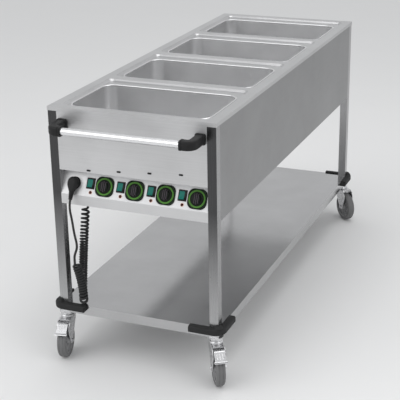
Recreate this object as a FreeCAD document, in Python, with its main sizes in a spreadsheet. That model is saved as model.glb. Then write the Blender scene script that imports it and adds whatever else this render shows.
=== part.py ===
"""Heated serving trolley with four GN 1/1 wells, as a parametric assembly.

Millimetres, +Z up. The controls and the handle are on the -Y end. Shapes are laid out about
the middle of the top, and the last step of each sub-part moves it by centre_y, so that the
origin lies on the floor under the middle of the whole trolley.
"""
import FreeCAD, Part
import math
import os
import re

import Sketcher
from FreeCAD import Placement, Rotation, Vector

SIZES = (
    # frame, skins and top
    ("width", 610, "overall width of the top"),
    ("length", 1650, "overall length of the top"),
    ("rim_top", 926, "height of the rim above the floor"),
    ("sheet_thick", 1.5, "thickness of every folded skin"),
    ("post", 32, "side of the square corner tubes"),
    ("post_wall", 1.5, "wall of the corner tubes"),
    ("skirt_tall", 14, "height of the rim's outer face"),
    ("recess_depth", 8, "drop from the rim to the plate round a well"),
    ("recess_corner", 20, "corner radius of the recess round a well"),
    ("crossbar", 35, "width of the bars between the wells"),
    ("housing_tall", 343, "heated housing from the rim down to its lower edge"),
    ("pan_lap", 16, "how far the bottom pan rests on the flanges"),
    # wells
    ("well_long", 504, "inside of a well across the trolley"),
    ("well_short", 296, "inside of a well along the trolley"),
    ("well_depth", 200, "depth of a well below its plate"),
    ("well_corner", 45, "upright corner radius of a well"),
    ("well_floor_corner", 18, "radius between a well's wall and floor"),
    ("well_flange", 12, "flange under the plate"),
    ("well_margin", 14, "plate in front of each well"),
    ("heater_margin", 50, "bare edge of a well's floor round its heater"),
    ("heater_thick", 8, "thickness of a heater plate"),
    # control console
    ("panel_tall", 220.5, "front panel from the rim down to its lower edge"),
    ("strip_tall", 36, "upright strip under the console's leaning face"),
    ("console_tilt", 27, "lean of the control face from upright, degrees"),
    ("foil_in", 85.5, "left end of the printed foil from the post"),
    ("foil_low", 2, "foil edge above the fold"),
    ("foil_tall", 92, "height of the foil along the face"),
    ("foil_thick", 0.8, "thickness of the foil"),
    ("park_room", 91, "width of the console beside its four control groups"),
    ("control_spare", 14, "bare face beside the dial in each control group"),
    ("rocker_shift", 4.9, "rocker from the middle of its group"),
    ("rocker_up", 45.5, "rocker above the fold"),
    ("rocker_wide", 22, "switch opening, width"),
    ("rocker_tall", 29, "switch opening, height"),
    ("rocker_frame", 4.5, "frame round the switch opening"),
    ("rocker_proud", 2.5, "height of the switch frame"),
    ("rocker_gap", 0.5, "gap beside a rocker"),
    ("rocker_end_gap", 1, "gap beyond each end of a rocker"),
    ("rocker_pin", 1.5, "radius of a rocker's pivot"),
    ("rocker_body", 20, "switch body behind the console"),
    ("rocker_rest", 8, "rest tilt of a rocker, degrees"),
    ("running_fit", 0.05, "radial clearance of a turning fit"),
    ("lamp_shift", 7.9, "lamp from the middle of its group"),
    ("lamp_up", 14.5, "lamp above the fold"),
    ("lamp_radius", 5, "radius of a lamp's lens"),
    ("dial_gap", 3.9, "gap between a switch frame and its dial"),
    ("knob_up", 39.8, "knob above the fold"),
    ("dial_corner", 22, "corner radius of the plate round a knob"),
    ("dial_thick", 4, "thickness of that plate"),
    ("ring_radius", 30, "outer radius of the scale ring"),
    ("ring_height", 2, "scale ring above its plate"),
    ("knob_radius", 24, "radius of a knob's skirt"),
    ("knob_gap", 0.4, "gap under and round a knob's skirt"),
    ("knob_skirt", 2, "height of a knob's skirt"),
    ("grip_radius", 15.5, "radius of a knob's grip"),
    ("grip_height", 6, "grip above the skirt"),
    ("grip_rib", 3, "width of a rib on the grip"),
    ("spindle_radius", 3, "radius of a thermostat's spindle"),
    ("spindle_depth", 18, "spindle behind the console"),
    ("thermostat_side", 44, "side of a thermostat's body"),
    ("thermostat_deep", 30, "depth of a thermostat's body"),
    # front panel
    ("slot_shift", 9.2, "slots from the middle of the panel"),
    ("slot_up", 8.1, "first slot above the front panel's lower edge"),
    ("slot_rise", 8.3, "climb from slot to slot"),
    ("slot_long", 15, "length of a slot insert"),
    ("slot_tall", 6, "height of a slot insert"),
    ("slot_lip", 1.2, "flange of a slot insert"),
    ("handle_drop", 57, "handle axis below the rim"),
    ("handle_standoff", 76.5, "handle axis in front of the panel"),
    ("handle_tube", 12.5, "radius of the handle tube"),
    ("handle_wall", 1.5, "wall of the handle tube"),
    ("collar_long", 9, "straight collar of an elbow"),
    ("handle_socket", 18, "tube inside each elbow"),
    ("elbow_in", 21.5, "elbow leg from the post"),
    ("elbow_radius", 18, "radius of an elbow"),
    ("elbow_bend", 30, "centreline radius of an elbow's bend"),
    ("elbow_foot", 21, "radius of an elbow's foot"),
    ("elbow_foot_thick", 7, "thickness of an elbow's foot"),
    ("bolt_radius", 4, "radius of a handle bolt"),
    ("bolt_head", 7.5, "radius of a handle bolt's head"),
    ("bolt_head_thick", 5.5, "thickness of a handle bolt's head"),
    ("bolt_reach", 30, "handle bolt inside the elbow"),
    # shelf, bumpers and castors
    ("shelf_bottom", 165, "height of the shelf's lower edge"),
    ("shelf_edge", 35, "height of the shelf's folded edge"),
    ("shelf_lip", 15, "inward lip under the shelf's edge"),
    ("bumper_bottom", 181, "lower edge of a bumper"),
    ("bumper_tall", 24, "height of a bumper"),
    ("bumper_thick", 22, "bumper outside the shelf's edge"),
    ("bumper_leg", 126, "leg of a bumper from its outer corner"),
    ("bumper_corner", 40, "outer corner radius of a bumper"),
    ("bumper_edge", 6, "rounding of a bumper's long edges"),
    ("bumper_lip_tall", 9, "lip of a bumper that rises against the post"),
    ("bumper_lip_low", 17, "radius of that lip at its foot"),
    ("bumper_lip_high", 9, "radius of that lip at its top"),
    ("insert_tall", 36, "threaded insert in a post's foot"),
    ("stem_radius", 6, "radius of a castor's stem"),
    ("stem_reach", 30, "castor stem inside the insert"),
    ("head_radius", 26, "radius of a castor's head plate"),
    ("head_thick", 4, "thickness of a castor's head plate"),
    ("race_radius", 22, "radius of the swivel race"),
    ("race_tall", 8, "height of the swivel race"),
    ("swivel_gap", 0.5, "gap between the race and the fork"),
    ("crown_radius", 24, "radius of the fork's swivel cup"),
    ("crown_tall", 10, "height of the fork's swivel cup"),
    ("kingpin_radius", 6, "radius of the kingpin"),
    ("kingpin_head", 9, "radius of the kingpin's lower head"),
    ("kingpin_head_thick", 4, "thickness of that head"),
    ("fork_plate", 3, "thickness of a fork's plates"),
    ("fork_gap", 40, "clear width between a fork's plates"),
    ("trail", 38, "axle behind the swivel axis"),
    ("wheel_radius", 62.5, "radius of a wheel"),
    ("tread_width", 32, "width of a wheel's tread"),
    ("hub_width", 38, "width of a wheel's hub"),
    ("hub_radius", 14, "radius of a wheel's hub"),
    ("tread_depth", 11, "thickness of the tread"),
    ("web_thick", 14, "thickness of a wheel's web"),
    ("axle_radius", 5, "radius of an axle bolt"),
    ("axle_head", 8.5, "radius of the axle's head and nut"),
    ("axle_head_thick", 6, "thickness of the axle's head and nut"),
    ("pedal_pivot_out", 34, "pedal pivot from the swivel axis"),
    ("pedal_pivot_z", 134, "height of a pedal's pivot"),
    ("pedal_gap", 0.5, "gap beside a pedal"),
    ("pedal_pin", 2.5, "radius of a pedal's pivot pin"),
    ("pedal_wide", 46, "width of a pedal's tread plate"),
    ("turn_front_left", 282, "heading of this castor's wheel, degrees"),
    ("turn_front_right", 302, "heading of this castor's wheel, degrees"),
    ("turn_rear_left", 226, "heading of this castor's wheel, degrees"),
    ("turn_rear_right", 314, "heading of this castor's wheel, degrees"),
    # mains cord
    ("cord", 8.2, "diameter of the mains cord"),
    ("curl_outer", 32, "outer diameter of the curly cord"),
    ("curl_pitch", 9, "distance between curls where the cord is slack"),
    ("curl_gap", 0.8, "least gap between curls on the inner side of a bend"),
    ("curl_top_pitch", 18.4, "distance between curls where the cord's weight hangs"),
    ("curl_pulled", 175, "length of axis over which the weight opens the curls"),
    ("curl_ease", 44, "axis over which the curls grow out of the gland"),
    ("curl_drop", 10, "fall of the cord while it enters its first curl"),
    ("plug_in", 46, "parked plug from the left post"),
    ("plug_up", 41, "parked plug above the fold"),
    ("plug_radius", 20, "radius of the plug's body"),
    ("plug_long", 24, "length of the plug's body"),
    ("plug_nose", 16, "radius of the plug's nose"),
    ("plug_nose_long", 12, "nose inside the socket"),
    ("boot_radius", 7, "radius of the plug's cord boot"),
    ("boot_long", 61, "boot from the plug's middle"),
    ("boot_out", 15, "boot axis in front of the console"),
    ("socket_radius", 22, "radius of the parking socket's flange"),
    ("socket_thick", 3, "thickness of that flange"),
    ("socket_wall", 2.5, "wall of the parking socket"),
    ("gland_radius", 12, "radius of the cord gland"),
    ("gland_neck", 8, "radius of the gland's neck"),
    ("gland_tall", 14, "gland below the bottom pan"),
)

DERIVED = {
    "rim": "post + 2 * sheet_thick",
    "skin_x": "width / 2 - sheet_thick",
    "skin_y": "length / 2 - sheet_thick",
    "skin_top": "rim_top - sheet_thick",
    "inner_x": "skin_x - post",
    "inner_y": "skin_y - post",
    "post_x": "skin_x - post / 2",
    "post_y": "skin_y - post / 2",
    "plate_under": "rim_top - recess_depth - sheet_thick",
    "recess_x": "width - 2 * rim",
    "bay": "(length - 2 * rim - 3 * crossbar) / 4",
    "housing_bottom": "rim_top - housing_tall",
    "panel_bottom": "rim_top - panel_tall",
    "console_fold": "housing_bottom + strip_tall",
    "slot_first_z": "panel_bottom + slot_up",
    "control_pitch": "(2 * inner_x - park_room) / 4",
    "dial_side": "control_pitch - rocker_wide - 2 * rocker_frame - control_spare",
    "knob_shift": "rocker_shift + rocker_wide / 2 + rocker_frame + dial_gap + dial_side / 2",
    "plug_x": "plug_in - inner_x",
    "foil_left": "foil_in - inner_x",
    "handle_z": "rim_top - handle_drop",
    "elbow_x": "inner_x - elbow_in",
    "handle_half": "elbow_x - elbow_bend - collar_long",
    "flange_y": "inner_y - pan_lap",
    "console_top_y": "(panel_bottom - console_fold) * tan(console_tilt) - skin_y",
    "shelf_top": "shelf_bottom + shelf_edge",
    "crown_top": "shelf_bottom - head_thick - race_tall - swivel_gap",
    "crown_under": "crown_top - crown_tall",
    "handle_y": "0 - skin_y - handle_standoff",
    "centre_y": "(handle_standoff + skin_y + elbow_radius - length / 2 - bumper_thick) / 2",
}

CORNERS = (
    ("front_left", -1, -1),
    ("front_right", 1, -1),
    ("rear_left", -1, 1),
    ("rear_right", 1, 1),
)
GROUPS = (1, 2, 3, 4)

# The straight lead runs from the plug's boot to the curly cord. The curly cord's axis goes down
# to the shelf, bends up again and rises to the gland under the housing. Both are laid out from
# the left post's inner side and the front, and stand on the shelf. The lead's points between its
# straight ends give their height as a share of the fall from the boot to the curls.
LEAD_MIDDLE = ((65.5, -51.5, 0.766), (69.5, -50.5, 0.505), (74.5, -40.5, 0.217))
CURL_AXIS = ((53, -18.5, 164), (67, -11.5, 102), (70.5, -9.5, 17.5), (35.5, 44.5, 17.5),
             (31.5, 79.5, 212))
CURL_RADII = (110, 30, 30, 350)
GLAND_SPOT = ("(35.5 - inner_x)", "(110.5 - skin_y)")
TOWARD_FRONT = Vector(0.6, -0.8, 0)
UPWARD = Vector(0, 0, 1)

doc = FreeCAD.newDocument("ServingTrolley")
sheet = doc.addObject("Spreadsheet::Sheet", "Sizes")
kept = []


def fill_sheet():
    for row, (alias, number, note) in enumerate(SIZES, 1):
        sheet.set(f"A{row}", alias)
        sheet.set(f"B{row}", str(number))
        sheet.set(f"C{row}", note)
        sheet.setAlias(f"B{row}", alias)
    doc.recompute()


# ---------------------------------------------------------------- expressions

ALIASES = re.compile(r"\b(" + "|".join(alias for alias, _, _ in SIZES) + r")\b")
WORKED_OUT = re.compile(r"\b(" + "|".join(DERIVED) + r")\b")


def formula(text):
    """Write a plain formula as an expression on the sheet's cells."""
    text = str(text)
    while WORKED_OUT.search(text):
        text = WORKED_OUT.sub(lambda found: "(" + DERIVED[found.group(1)] + ")", text)
    return ALIASES.sub(r"Sizes.\1", text)


def number(text):
    return float(sheet.evalExpression(formula(text)))


def bind(thing, **sizes):
    for name, text in sizes.items():
        thing.setExpression(name, formula(text))
    return thing


def move(thing, across="0", along="0", up="0"):
    """Bind where a shape stands."""
    for axis, text in zip("xyz", (across, along, up)):
        thing.setExpression(f"Placement.Base.{axis}", formula(text))
    return thing


def turn(thing, axis, angle):
    """Bind how far a shape is turned about an axis through its own origin."""
    thing.Placement = Placement(Vector(), Rotation(axis, 1))
    thing.setExpression("Placement.Rotation.Angle", formula(angle))
    return thing


def keep(thing, label):
    """Name a finished sub-part."""
    thing.Label = label
    kept.append(thing)
    return thing


def settle(thing, label):
    """Name a sub-part that was laid out about the middle of the top."""
    return keep(move(thing, "0", "centre_y"), label)


# ---------------------------------------------------------------- shapes

TURN_TO = {
    "z": None,
    "x": Rotation(Vector(0, 1, 0), 90),
    "y": Rotation(Vector(1, 0, 0), -90),
    "-y": Rotation(Vector(1, 0, 0), 90),
}


def block(name, across, along, tall, middle=("0", "0"), bottom="0"):
    """A box centred on a point, standing at a height."""
    box = doc.addObject("Part::Box", name)
    bind(box, Length=across, Width=along, Height=tall)
    return move(box, f"{middle[0]} - ({across}) / 2", f"{middle[1]} - ({along}) / 2", bottom)


def span(name, across, along, up):
    """A box between pairs of limits."""
    box = doc.addObject("Part::Box", name)
    sides = [f"({high}) - ({low})" for low, high in (across, along, up)]
    bind(box, Length=sides[0], Width=sides[1], Height=sides[2])
    return move(box, across[0], along[0], up[0])


def rod(name, radius, long, start=("0", "0", "0"), heading="z"):
    cylinder = doc.addObject("Part::Cylinder", name)
    if TURN_TO[heading]:
        cylinder.Placement = Placement(Vector(), TURN_TO[heading])
    bind(cylinder, Radius=radius, Height=long)
    return move(cylinder, *start)


def fuse(name, shapes):
    joined = doc.addObject("Part::MultiFuse", name)
    joined.Shapes = shapes
    return joined


def group(name, shapes):
    """Several equal pieces that are one sub-part."""
    together = doc.addObject("Part::Compound", name)
    together.Links = shapes
    return together


def cut(name, base, tools):
    result = doc.addObject("Part::Cut", name)
    result.Base = base
    result.Tool = tools[0] if len(tools) == 1 else fuse(name + "_tools", tools)
    return result


def rounded(name, base, choices):
    """Round the edges of a shape that each test picks, each with its own radius."""
    doc.recompute()
    picked = []
    for index, edge in enumerate(base.Shape.Edges, 1):
        for radius, test in choices:
            if test(edge):
                picked.append((index, number(radius), number(radius)))
                break
    fillet = doc.addObject("Part::Fillet", name)
    fillet.Base = base
    fillet.Edges = picked
    return fillet


def upright(edge):
    low, high = edge.Vertexes[0].Point, edge.Vertexes[-1].Point
    return abs(low.x - high.x) < 0.01 and abs(low.y - high.y) < 0.01 and low != high


def at_height(level):
    target = number(level)
    return lambda edge: all(abs(end.Point.z - target) < 0.01 for end in edge.Vertexes)


def tray_block(name, across, along, tall, middle, bottom, corner):
    """A box with round upright corners."""
    return rounded(name, block(name + "_box", across, along, tall, middle, bottom), [(corner, upright)])


# ---------------------------------------------------------------- bodies with sketches

def new_body(name):
    return doc.addObject("PartDesign::Body", name)


def new_sketch(body, name, plane):
    sketch = body.newObject("Sketcher::SketchObject", name)
    side = next(item for item in body.Origin.OriginFeatures if item.Role == plane)
    sketch.AttachmentSupport = [(side, "")]
    sketch.MapMode = "FlatFace"
    return sketch


def outline(sketch, corners):
    """A closed outline of straight lines, with every corner bound to the sheet."""
    points = [Vector(number(across), number(up), 0) for across, up in corners]
    for index, point in enumerate(points):
        sketch.addGeometry(Part.LineSegment(point, points[(index + 1) % len(points)]))
    for index in range(len(points)):
        following = (index + 1) % len(points)
        sketch.addConstraint(Sketcher.Constraint("Coincident", index, 2, following, 1))
    for index, (point, texts) in enumerate(zip(points, corners)):
        for kind, value, text in zip(("DistanceX", "DistanceY"), (point.x, point.y), texts):
            made = sketch.addConstraint(Sketcher.Constraint(kind, index, 1, value))
            sketch.setExpression(f"Constraints[{made}]", formula(text))


def pad(body, name, sketch, long):
    """Thicken a sketch to both sides."""
    feature = body.newObject("PartDesign::Pad", name)
    feature.Profile = sketch
    feature.SideType = "Symmetric"
    bind(feature, Length=long)
    return feature


def turned(body, name, corners):
    """A solid of revolution about the body's Y axis, from radius and height along that axis."""
    sketch = new_sketch(body, name + "_profile", "XY_Plane")
    outline(sketch, corners)
    feature = body.newObject("PartDesign::Revolution", name)
    feature.Profile = sketch
    feature.ReferenceAxis = (sketch, ["V_Axis"])
    feature.Angle = 360
    return feature


# ---------------------------------------------------------------- top, wells and frame

def bay_middle(index):
    return f"(rim + bay / 2 - length / 2 + {index - 1} * (bay + crossbar))"


def well_middle(index):
    return f"({bay_middle(index)} - bay / 2 + well_margin + well_short / 2)"


def top_deck():
    """One pressed sheet: a raised rim and crossbars, and a recessed plate with an opening per well."""
    skirt_low = "rim_top - skirt_tall"
    slab = block("deck_slab", "width", "length", "skirt_tall", bottom=skirt_low)
    hollow = block("deck_hollow", "width - 2 * sheet_thick", "length - 2 * sheet_thick",
                   "skirt_tall - sheet_thick", bottom=skirt_low)
    solids = [cut("deck_shell", slab, [hollow])]
    openings = []
    for index in GROUPS:
        middle = ("0", bay_middle(index))
        solids.append(tray_block(f"deck_pan_{index}", "recess_x + 2 * sheet_thick",
                                 "bay + 2 * sheet_thick", "recess_depth + sheet_thick",
                                 middle, "plate_under", "recess_corner + sheet_thick"))
        openings.append(tray_block(f"deck_recess_{index}", "recess_x", "bay", "recess_depth + 1",
                                   middle, "rim_top - recess_depth", "recess_corner"))
        openings.append(tray_block(f"deck_opening_{index}", "well_long", "well_short",
                                   "recess_depth + 2 * sheet_thick", ("0", well_middle(index)),
                                   "plate_under - sheet_thick", "well_corner"))
    settle(cut("deck", fuse("deck_solids", solids), openings), "top_deck")


def well(index):
    """A deep-drawn water well with round corners, hung by its flange under the plate."""
    middle = ("0", well_middle(index))
    floor = "plate_under - well_depth"
    flange = tray_block(f"well_{index}_flange", "well_long + 2 * well_flange",
                        "well_short + 2 * well_flange", "sheet_thick", middle,
                        "plate_under - sheet_thick", "well_corner + well_flange")
    outer = block(f"well_{index}_box", "well_long + 2 * sheet_thick",
                  "well_short + 2 * sheet_thick", "well_depth", middle, floor)
    outer = rounded(f"well_{index}_outer", outer, [
        ("well_corner + sheet_thick", upright),
        ("well_floor_corner + sheet_thick", at_height(floor))])
    inner = block(f"well_{index}_space", "well_long", "well_short",
                  "well_depth - sheet_thick", middle, floor + " + sheet_thick")
    inner = rounded(f"well_{index}_inner", inner, [
        ("well_corner", upright),
        ("well_floor_corner", at_height(floor + " + sheet_thick"))])
    tub = fuse(f"well_{index}_tub", [flange, outer])
    settle(cut(f"well_{index}", tub, [inner]), f"well_{index}")


def heaters():
    """A heating plate under the floor of each well."""
    plates = [block(f"heater_{index}", "well_long - 2 * heater_margin",
                    "well_short - 2 * heater_margin", "heater_thick",
                    ("0", well_middle(index)), "plate_under - well_depth - heater_thick")
              for index in GROUPS]
    settle(group("heater_set", plates), "well_heaters")


def corner_post(name, side, end):
    """A square tube from the shelf's lower edge up into the rim."""
    middle = (f"{side} * post_x", f"{end} * post_y")
    tall = "skin_top - shelf_bottom"
    outer = block(f"{name}_tube", "post", "post", tall, middle, "shelf_bottom")
    bore = block(f"{name}_bore", "post - 2 * post_wall", "post - 2 * post_wall", tall, middle,
                 "shelf_bottom")
    settle(cut(f"{name}_post", outer, [bore]), f"post_{name}")


def side_panel(name, side):
    """A long skin between two posts, with a flange under its lower edge."""
    skin = block(f"{name}_skin", "sheet_thick", "2 * inner_y", "skin_top - housing_bottom",
                 (f"{side} * (skin_x - sheet_thick / 2)", "0"), "housing_bottom")
    flange = block(f"{name}_flange", "post + pan_lap", "2 * flange_y", "sheet_thick",
                   (f"{side} * (inner_x - pan_lap + (post + pan_lap) / 2)", "0"), "housing_bottom")
    settle(fuse(f"{name}_panel", [skin, flange]), f"side_panel_{name}")


def rear_panel():
    skin = span("rear_skin", ("-inner_x", "inner_x"), ("skin_y - sheet_thick", "skin_y"),
                ("housing_bottom", "skin_top"))
    flange = span("rear_flange", ("-inner_x", "inner_x"), ("flange_y", "skin_y"),
                  ("housing_bottom", "housing_bottom + sheet_thick"))
    settle(fuse("rear", [skin, flange]), "rear_panel")


def bottom_pan():
    """The sheet that closes the housing from below, with the gland's hole."""
    level = "housing_bottom + sheet_thick"
    sheet_box = block("pan_sheet", "2 * (skin_x - sheet_thick)", "2 * inner_y", "sheet_thick",
                      bottom=level)
    hole = rod("pan_hole", "gland_neck", "sheet_thick + 2",
               (GLAND_SPOT[0], GLAND_SPOT[1], level + " - 1"))
    settle(cut("pan", sheet_box, [hole]), "bottom_pan")


# ---------------------------------------------------------------- front panel and handle

def slot_spot(index):
    return (f"(slot_shift + {index - 2.5} * control_pitch)",
            f"(slot_first_z + {index - 1} * slot_rise)")


def obround(name, long, tall, deep, spot, start):
    """A bar with round ends, lying across the trolley and pointing to the rear."""
    across, height = spot
    reach = f"(({long}) - ({tall})) / 2"
    bar = doc.addObject("Part::Box", name + "_bar")
    bind(bar, Length=f"({long}) - ({tall})", Width=deep, Height=tall)
    move(bar, f"{across} - {reach}", start, f"{height} - ({tall}) / 2")
    ends = [rod(f"{name}_end_{side}", f"({tall}) / 2", deep,
                (f"{across} + {side} * {reach}", start, height), "y") for side in (-1, 1)]
    return fuse(name, [bar] + ends)


def front_panel():
    """The upright skin under the rim, its lower return, four slots and the handle's bolt holes."""
    skin = span("front_skin", ("-inner_x", "inner_x"), ("-skin_y", "sheet_thick - skin_y"),
                ("panel_bottom", "skin_top"))
    back = span("front_return", ("-inner_x", "inner_x"), ("-skin_y", "console_top_y + pan_lap"),
                ("panel_bottom", "panel_bottom + sheet_thick"))
    holes = [obround(f"slot_hole_{index}", "slot_long - 2 * slot_lip", "slot_tall - 2 * slot_lip",
                     "sheet_thick + 2", slot_spot(index), "-skin_y - 1") for index in GROUPS]
    holes += [rod(f"handle_hole_{side}", "bolt_radius", "sheet_thick + 2",
                  (f"{side} * elbow_x", "-skin_y - 1", "handle_z"), "y") for side in (-1, 1)]
    settle(cut("front", fuse("front_solids", [skin, back]), holes), "front_panel")


def slot_inserts():
    """Plastic inserts that fill the four slots."""
    pieces = []
    for index in GROUPS:
        plug = obround(f"slot_plug_{index}", "slot_long - 2 * slot_lip", "slot_tall - 2 * slot_lip",
                       "sheet_thick + slot_lip", slot_spot(index), "-skin_y")
        lip = obround(f"slot_flange_{index}", "slot_long", "slot_tall", "slot_lip",
                      slot_spot(index), "-skin_y - slot_lip")
        pieces.append(fuse(f"slot_insert_{index}", [plug, lip]))
    settle(group("slot_insert_set", pieces), "slot_inserts")


def handle_tube():
    half = "(handle_half + handle_socket)"
    start = (f"-{half}", "handle_y", "handle_z")
    outer = rod("grip_outer", "handle_tube", f"2 * {half}", start, "x")
    bore = rod("grip_bore", "handle_tube - handle_wall", f"2 * {half}", start, "x")
    settle(cut("grip", outer, [bore]), "handle_tube")


def elbow(name, side):
    """A plastic elbow: it takes the tube's end, bends back and stands on the front panel."""
    bend_x = f"{side} * (elbow_x - elbow_bend)"
    start_x = "handle_half" if side > 0 else "0 - elbow_x + elbow_bend"
    collar = rod(f"elbow_{name}_collar", "elbow_radius", "collar_long",
                 (start_x, "handle_y", "handle_z"), "x")
    bend = doc.addObject("Part::Torus", f"elbow_{name}_bend")
    bind(bend, Radius1="elbow_bend", Radius2="elbow_radius", Angle3="90")
    turn(bend, Vector(0, 0, 1), "270" if side > 0 else "180")
    move(bend, bend_x, "handle_y + elbow_bend", "handle_z")
    leg = rod(f"elbow_{name}_leg", "elbow_radius", "handle_standoff - elbow_bend",
              (f"{side} * elbow_x", "handle_y + elbow_bend", "handle_z"), "y")
    foot = rod(f"elbow_{name}_foot", "elbow_foot", "elbow_foot_thick",
               (f"{side} * elbow_x", "-skin_y - elbow_foot_thick", "handle_z"), "y")
    socket_x = "handle_half" if side > 0 else "0 - handle_half - handle_socket"
    socket = rod(f"elbow_{name}_socket", "handle_tube", "handle_socket",
                 (socket_x, "handle_y", "handle_z"), "x")
    thread = rod(f"elbow_{name}_thread", "bolt_radius", "bolt_reach",
                 (f"{side} * elbow_x", "-skin_y - bolt_reach", "handle_z"), "y")
    solid = fuse(f"elbow_{name}_solid", [collar, bend, leg, foot])
    settle(cut(f"elbow_{name}", solid, [socket, thread]), f"handle_elbow_{name}")


def handle_bolts():
    """A bolt through the panel into each elbow."""
    bolts = []
    for side in (-1, 1):
        shank = rod(f"bolt_shank_{side}", "bolt_radius", "bolt_reach + sheet_thick",
                    (f"{side} * elbow_x", "-skin_y - bolt_reach", "handle_z"), "y")
        head = rod(f"bolt_head_{side}", "bolt_head", "bolt_head_thick",
                   (f"{side} * elbow_x", "sheet_thick - skin_y", "handle_z"), "y")
        bolts.append(fuse(f"handle_bolt_{side}", [shank, head]))
    settle(group("handle_bolt_set", bolts), "handle_bolts")


# ---------------------------------------------------------------- control console

def on_console(thing, across, up, out="0", shift="0"):
    """Stand a shape on the leaning face: its Z axis points out and its Y axis up the face."""
    turn(thing, Vector(1, 0, 0), "90 - console_tilt")
    along = f"({up}) * sin(console_tilt) - ({out}) * cos(console_tilt) - skin_y + {shift}"
    height = f"({up}) * cos(console_tilt) + ({out}) * sin(console_tilt) + console_fold"
    return move(thing, across, along, height)


def group_x(index, shift):
    return f"({index - 2.5} * control_pitch + {shift})"


def rocker_spot(index):
    return group_x(index, "rocker_shift"), "rocker_up"


def lamp_spot(index):
    return group_x(index, "lamp_shift"), "lamp_up"


def knob_spot(index):
    return group_x(index, "knob_shift"), "knob_up"


def face_holes(name, spindle):
    """Cutters through the leaning face, one set per control group."""
    tools = []
    deep = "foil_thick + 2 * sheet_thick"
    for index in GROUPS:
        opening = block(f"{name}_rocker_{index}", "rocker_wide + 2", "rocker_tall + 2", deep)
        tools.append(on_console(group(f"{name}_rocker_cut_{index}", [opening]),
                                *rocker_spot(index), out="0 - 1.5 * sheet_thick"))
        for kind, radius, spot in (("lamp", "lamp_radius - 1", lamp_spot(index)),
                                   ("knob", spindle, knob_spot(index))):
            hole = rod(f"{name}_{kind}_{index}", radius, deep)
            tools.append(on_console(hole, *spot, out="0 - 1.5 * sheet_thick"))
    return tools


def console():
    """The folded control housing: leaning face, upright strip and lower return."""
    body = new_body("console_sheet")
    profile = new_sketch(body, "console_profile", "YZ_Plane")
    outline(profile, (
        ("-skin_y", "housing_bottom"),
        ("-skin_y", "console_fold"),
        ("console_top_y", "panel_bottom"),
        ("console_top_y + sheet_thick / cos(console_tilt)", "panel_bottom"),
        ("sheet_thick - skin_y", "console_fold - sheet_thick * tan(console_tilt / 2)"),
        ("sheet_thick - skin_y", "housing_bottom + sheet_thick"),
        ("-flange_y", "housing_bottom + sheet_thick"),
        ("-flange_y", "housing_bottom")))
    pad(body, "console_pad", profile, "2 * inner_x")
    bore = rod("console_park", "plug_nose + socket_wall", "3 * sheet_thick")
    park = on_console(bore, "plug_x", "plug_up", out="0 - 1.5 * sheet_thick")
    settle(cut("console_face", body, face_holes("console", "spindle_radius + 1") + [park]),
           "control_console")


def foil():
    """The printed sheet on the leaning face."""
    right = "inner_x - foil_low"
    sheet_box = block("foil_sheet", f"{right} - (foil_left)", "foil_tall", "foil_thick")
    carrier = on_console(group("foil_carrier", [sheet_box]), f"({right} + foil_left) / 2",
                         "foil_low + foil_tall / 2")
    settle(cut("foil", carrier, face_holes("foil", "spindle_radius + 1")), "control_foil")


def rocker_frames():
    """Switch frames: a collar in front of the foil and an open body behind it."""
    pieces = []
    for index in GROUPS:
        collar = block(f"frame_collar_{index}", "rocker_wide + 2 * rocker_frame",
                       "rocker_tall + 2 * rocker_frame", "rocker_proud")
        shell = block(f"frame_shell_{index}", "rocker_wide + 2", "rocker_tall + 2", "rocker_body",
                      bottom="0 - rocker_body")
        space = block(f"frame_space_{index}", "rocker_wide", "rocker_tall",
                      "rocker_body - 2 + rocker_proud", bottom="2 - rocker_body")
        pins = rod(f"frame_pins_{index}", "rocker_pin + running_fit",
                   "rocker_wide + 2", ("-rocker_wide / 2 - 1", "0", "-rocker_pin"), "x")
        solid = fuse(f"frame_solid_{index}", [collar, shell])
        frame = cut(f"rocker_frame_{index}", solid, [space, pins])
        pieces.append(on_console(frame, *rocker_spot(index), out="foil_thick"))
    settle(group("rocker_frame_set", pieces), "rocker_frames")


def rocker(index):
    """A switch rocker that tips about a pin across its middle; it rests on one side."""
    body = new_body(f"rocker_body_{index}")
    half = "(rocker_tall / 2 - rocker_end_gap)"
    profile = new_sketch(body, f"rocker_profile_{index}", "YZ_Plane")
    outline(profile, (
        (f"-{half}", "0"), (f"-{half}", "rocker_proud + 3"), ("0", "rocker_proud + 1"),
        (half, "rocker_proud + 3"), (half, "0"), ("3", "-5"), ("-3", "-5")))
    pad(body, f"rocker_pad_{index}", profile, "rocker_wide - 2 * rocker_gap")
    pin = rod(f"rocker_pin_{index}", "rocker_pin", "rocker_wide + 1.6",
              ("-rocker_wide / 2 - 0.8", "0", "0"), "x")
    solid = fuse(f"rocker_solid_{index}", [body, pin])
    across, up = rocker_spot(index)
    on_console(solid, across, up, out="foil_thick - rocker_pin", shift="centre_y")
    solid.setExpression("Placement.Rotation.Angle", formula("90 - console_tilt - rocker_rest"))
    keep(solid, f"rocker_{index}")


def lamps():
    """Indicator lamps under the switches."""
    pieces = []
    for index in GROUPS:
        lens = rod(f"lamp_lens_{index}", "lamp_radius", "3")
        stem = rod(f"lamp_stem_{index}", "lamp_radius - 1", "12", ("0", "0", "-12"))
        lamp = fuse(f"lamp_{index}", [lens, stem])
        pieces.append(on_console(lamp, *lamp_spot(index), out="foil_thick"))
    settle(group("lamp_set", pieces), "indicator_lamps")


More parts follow.
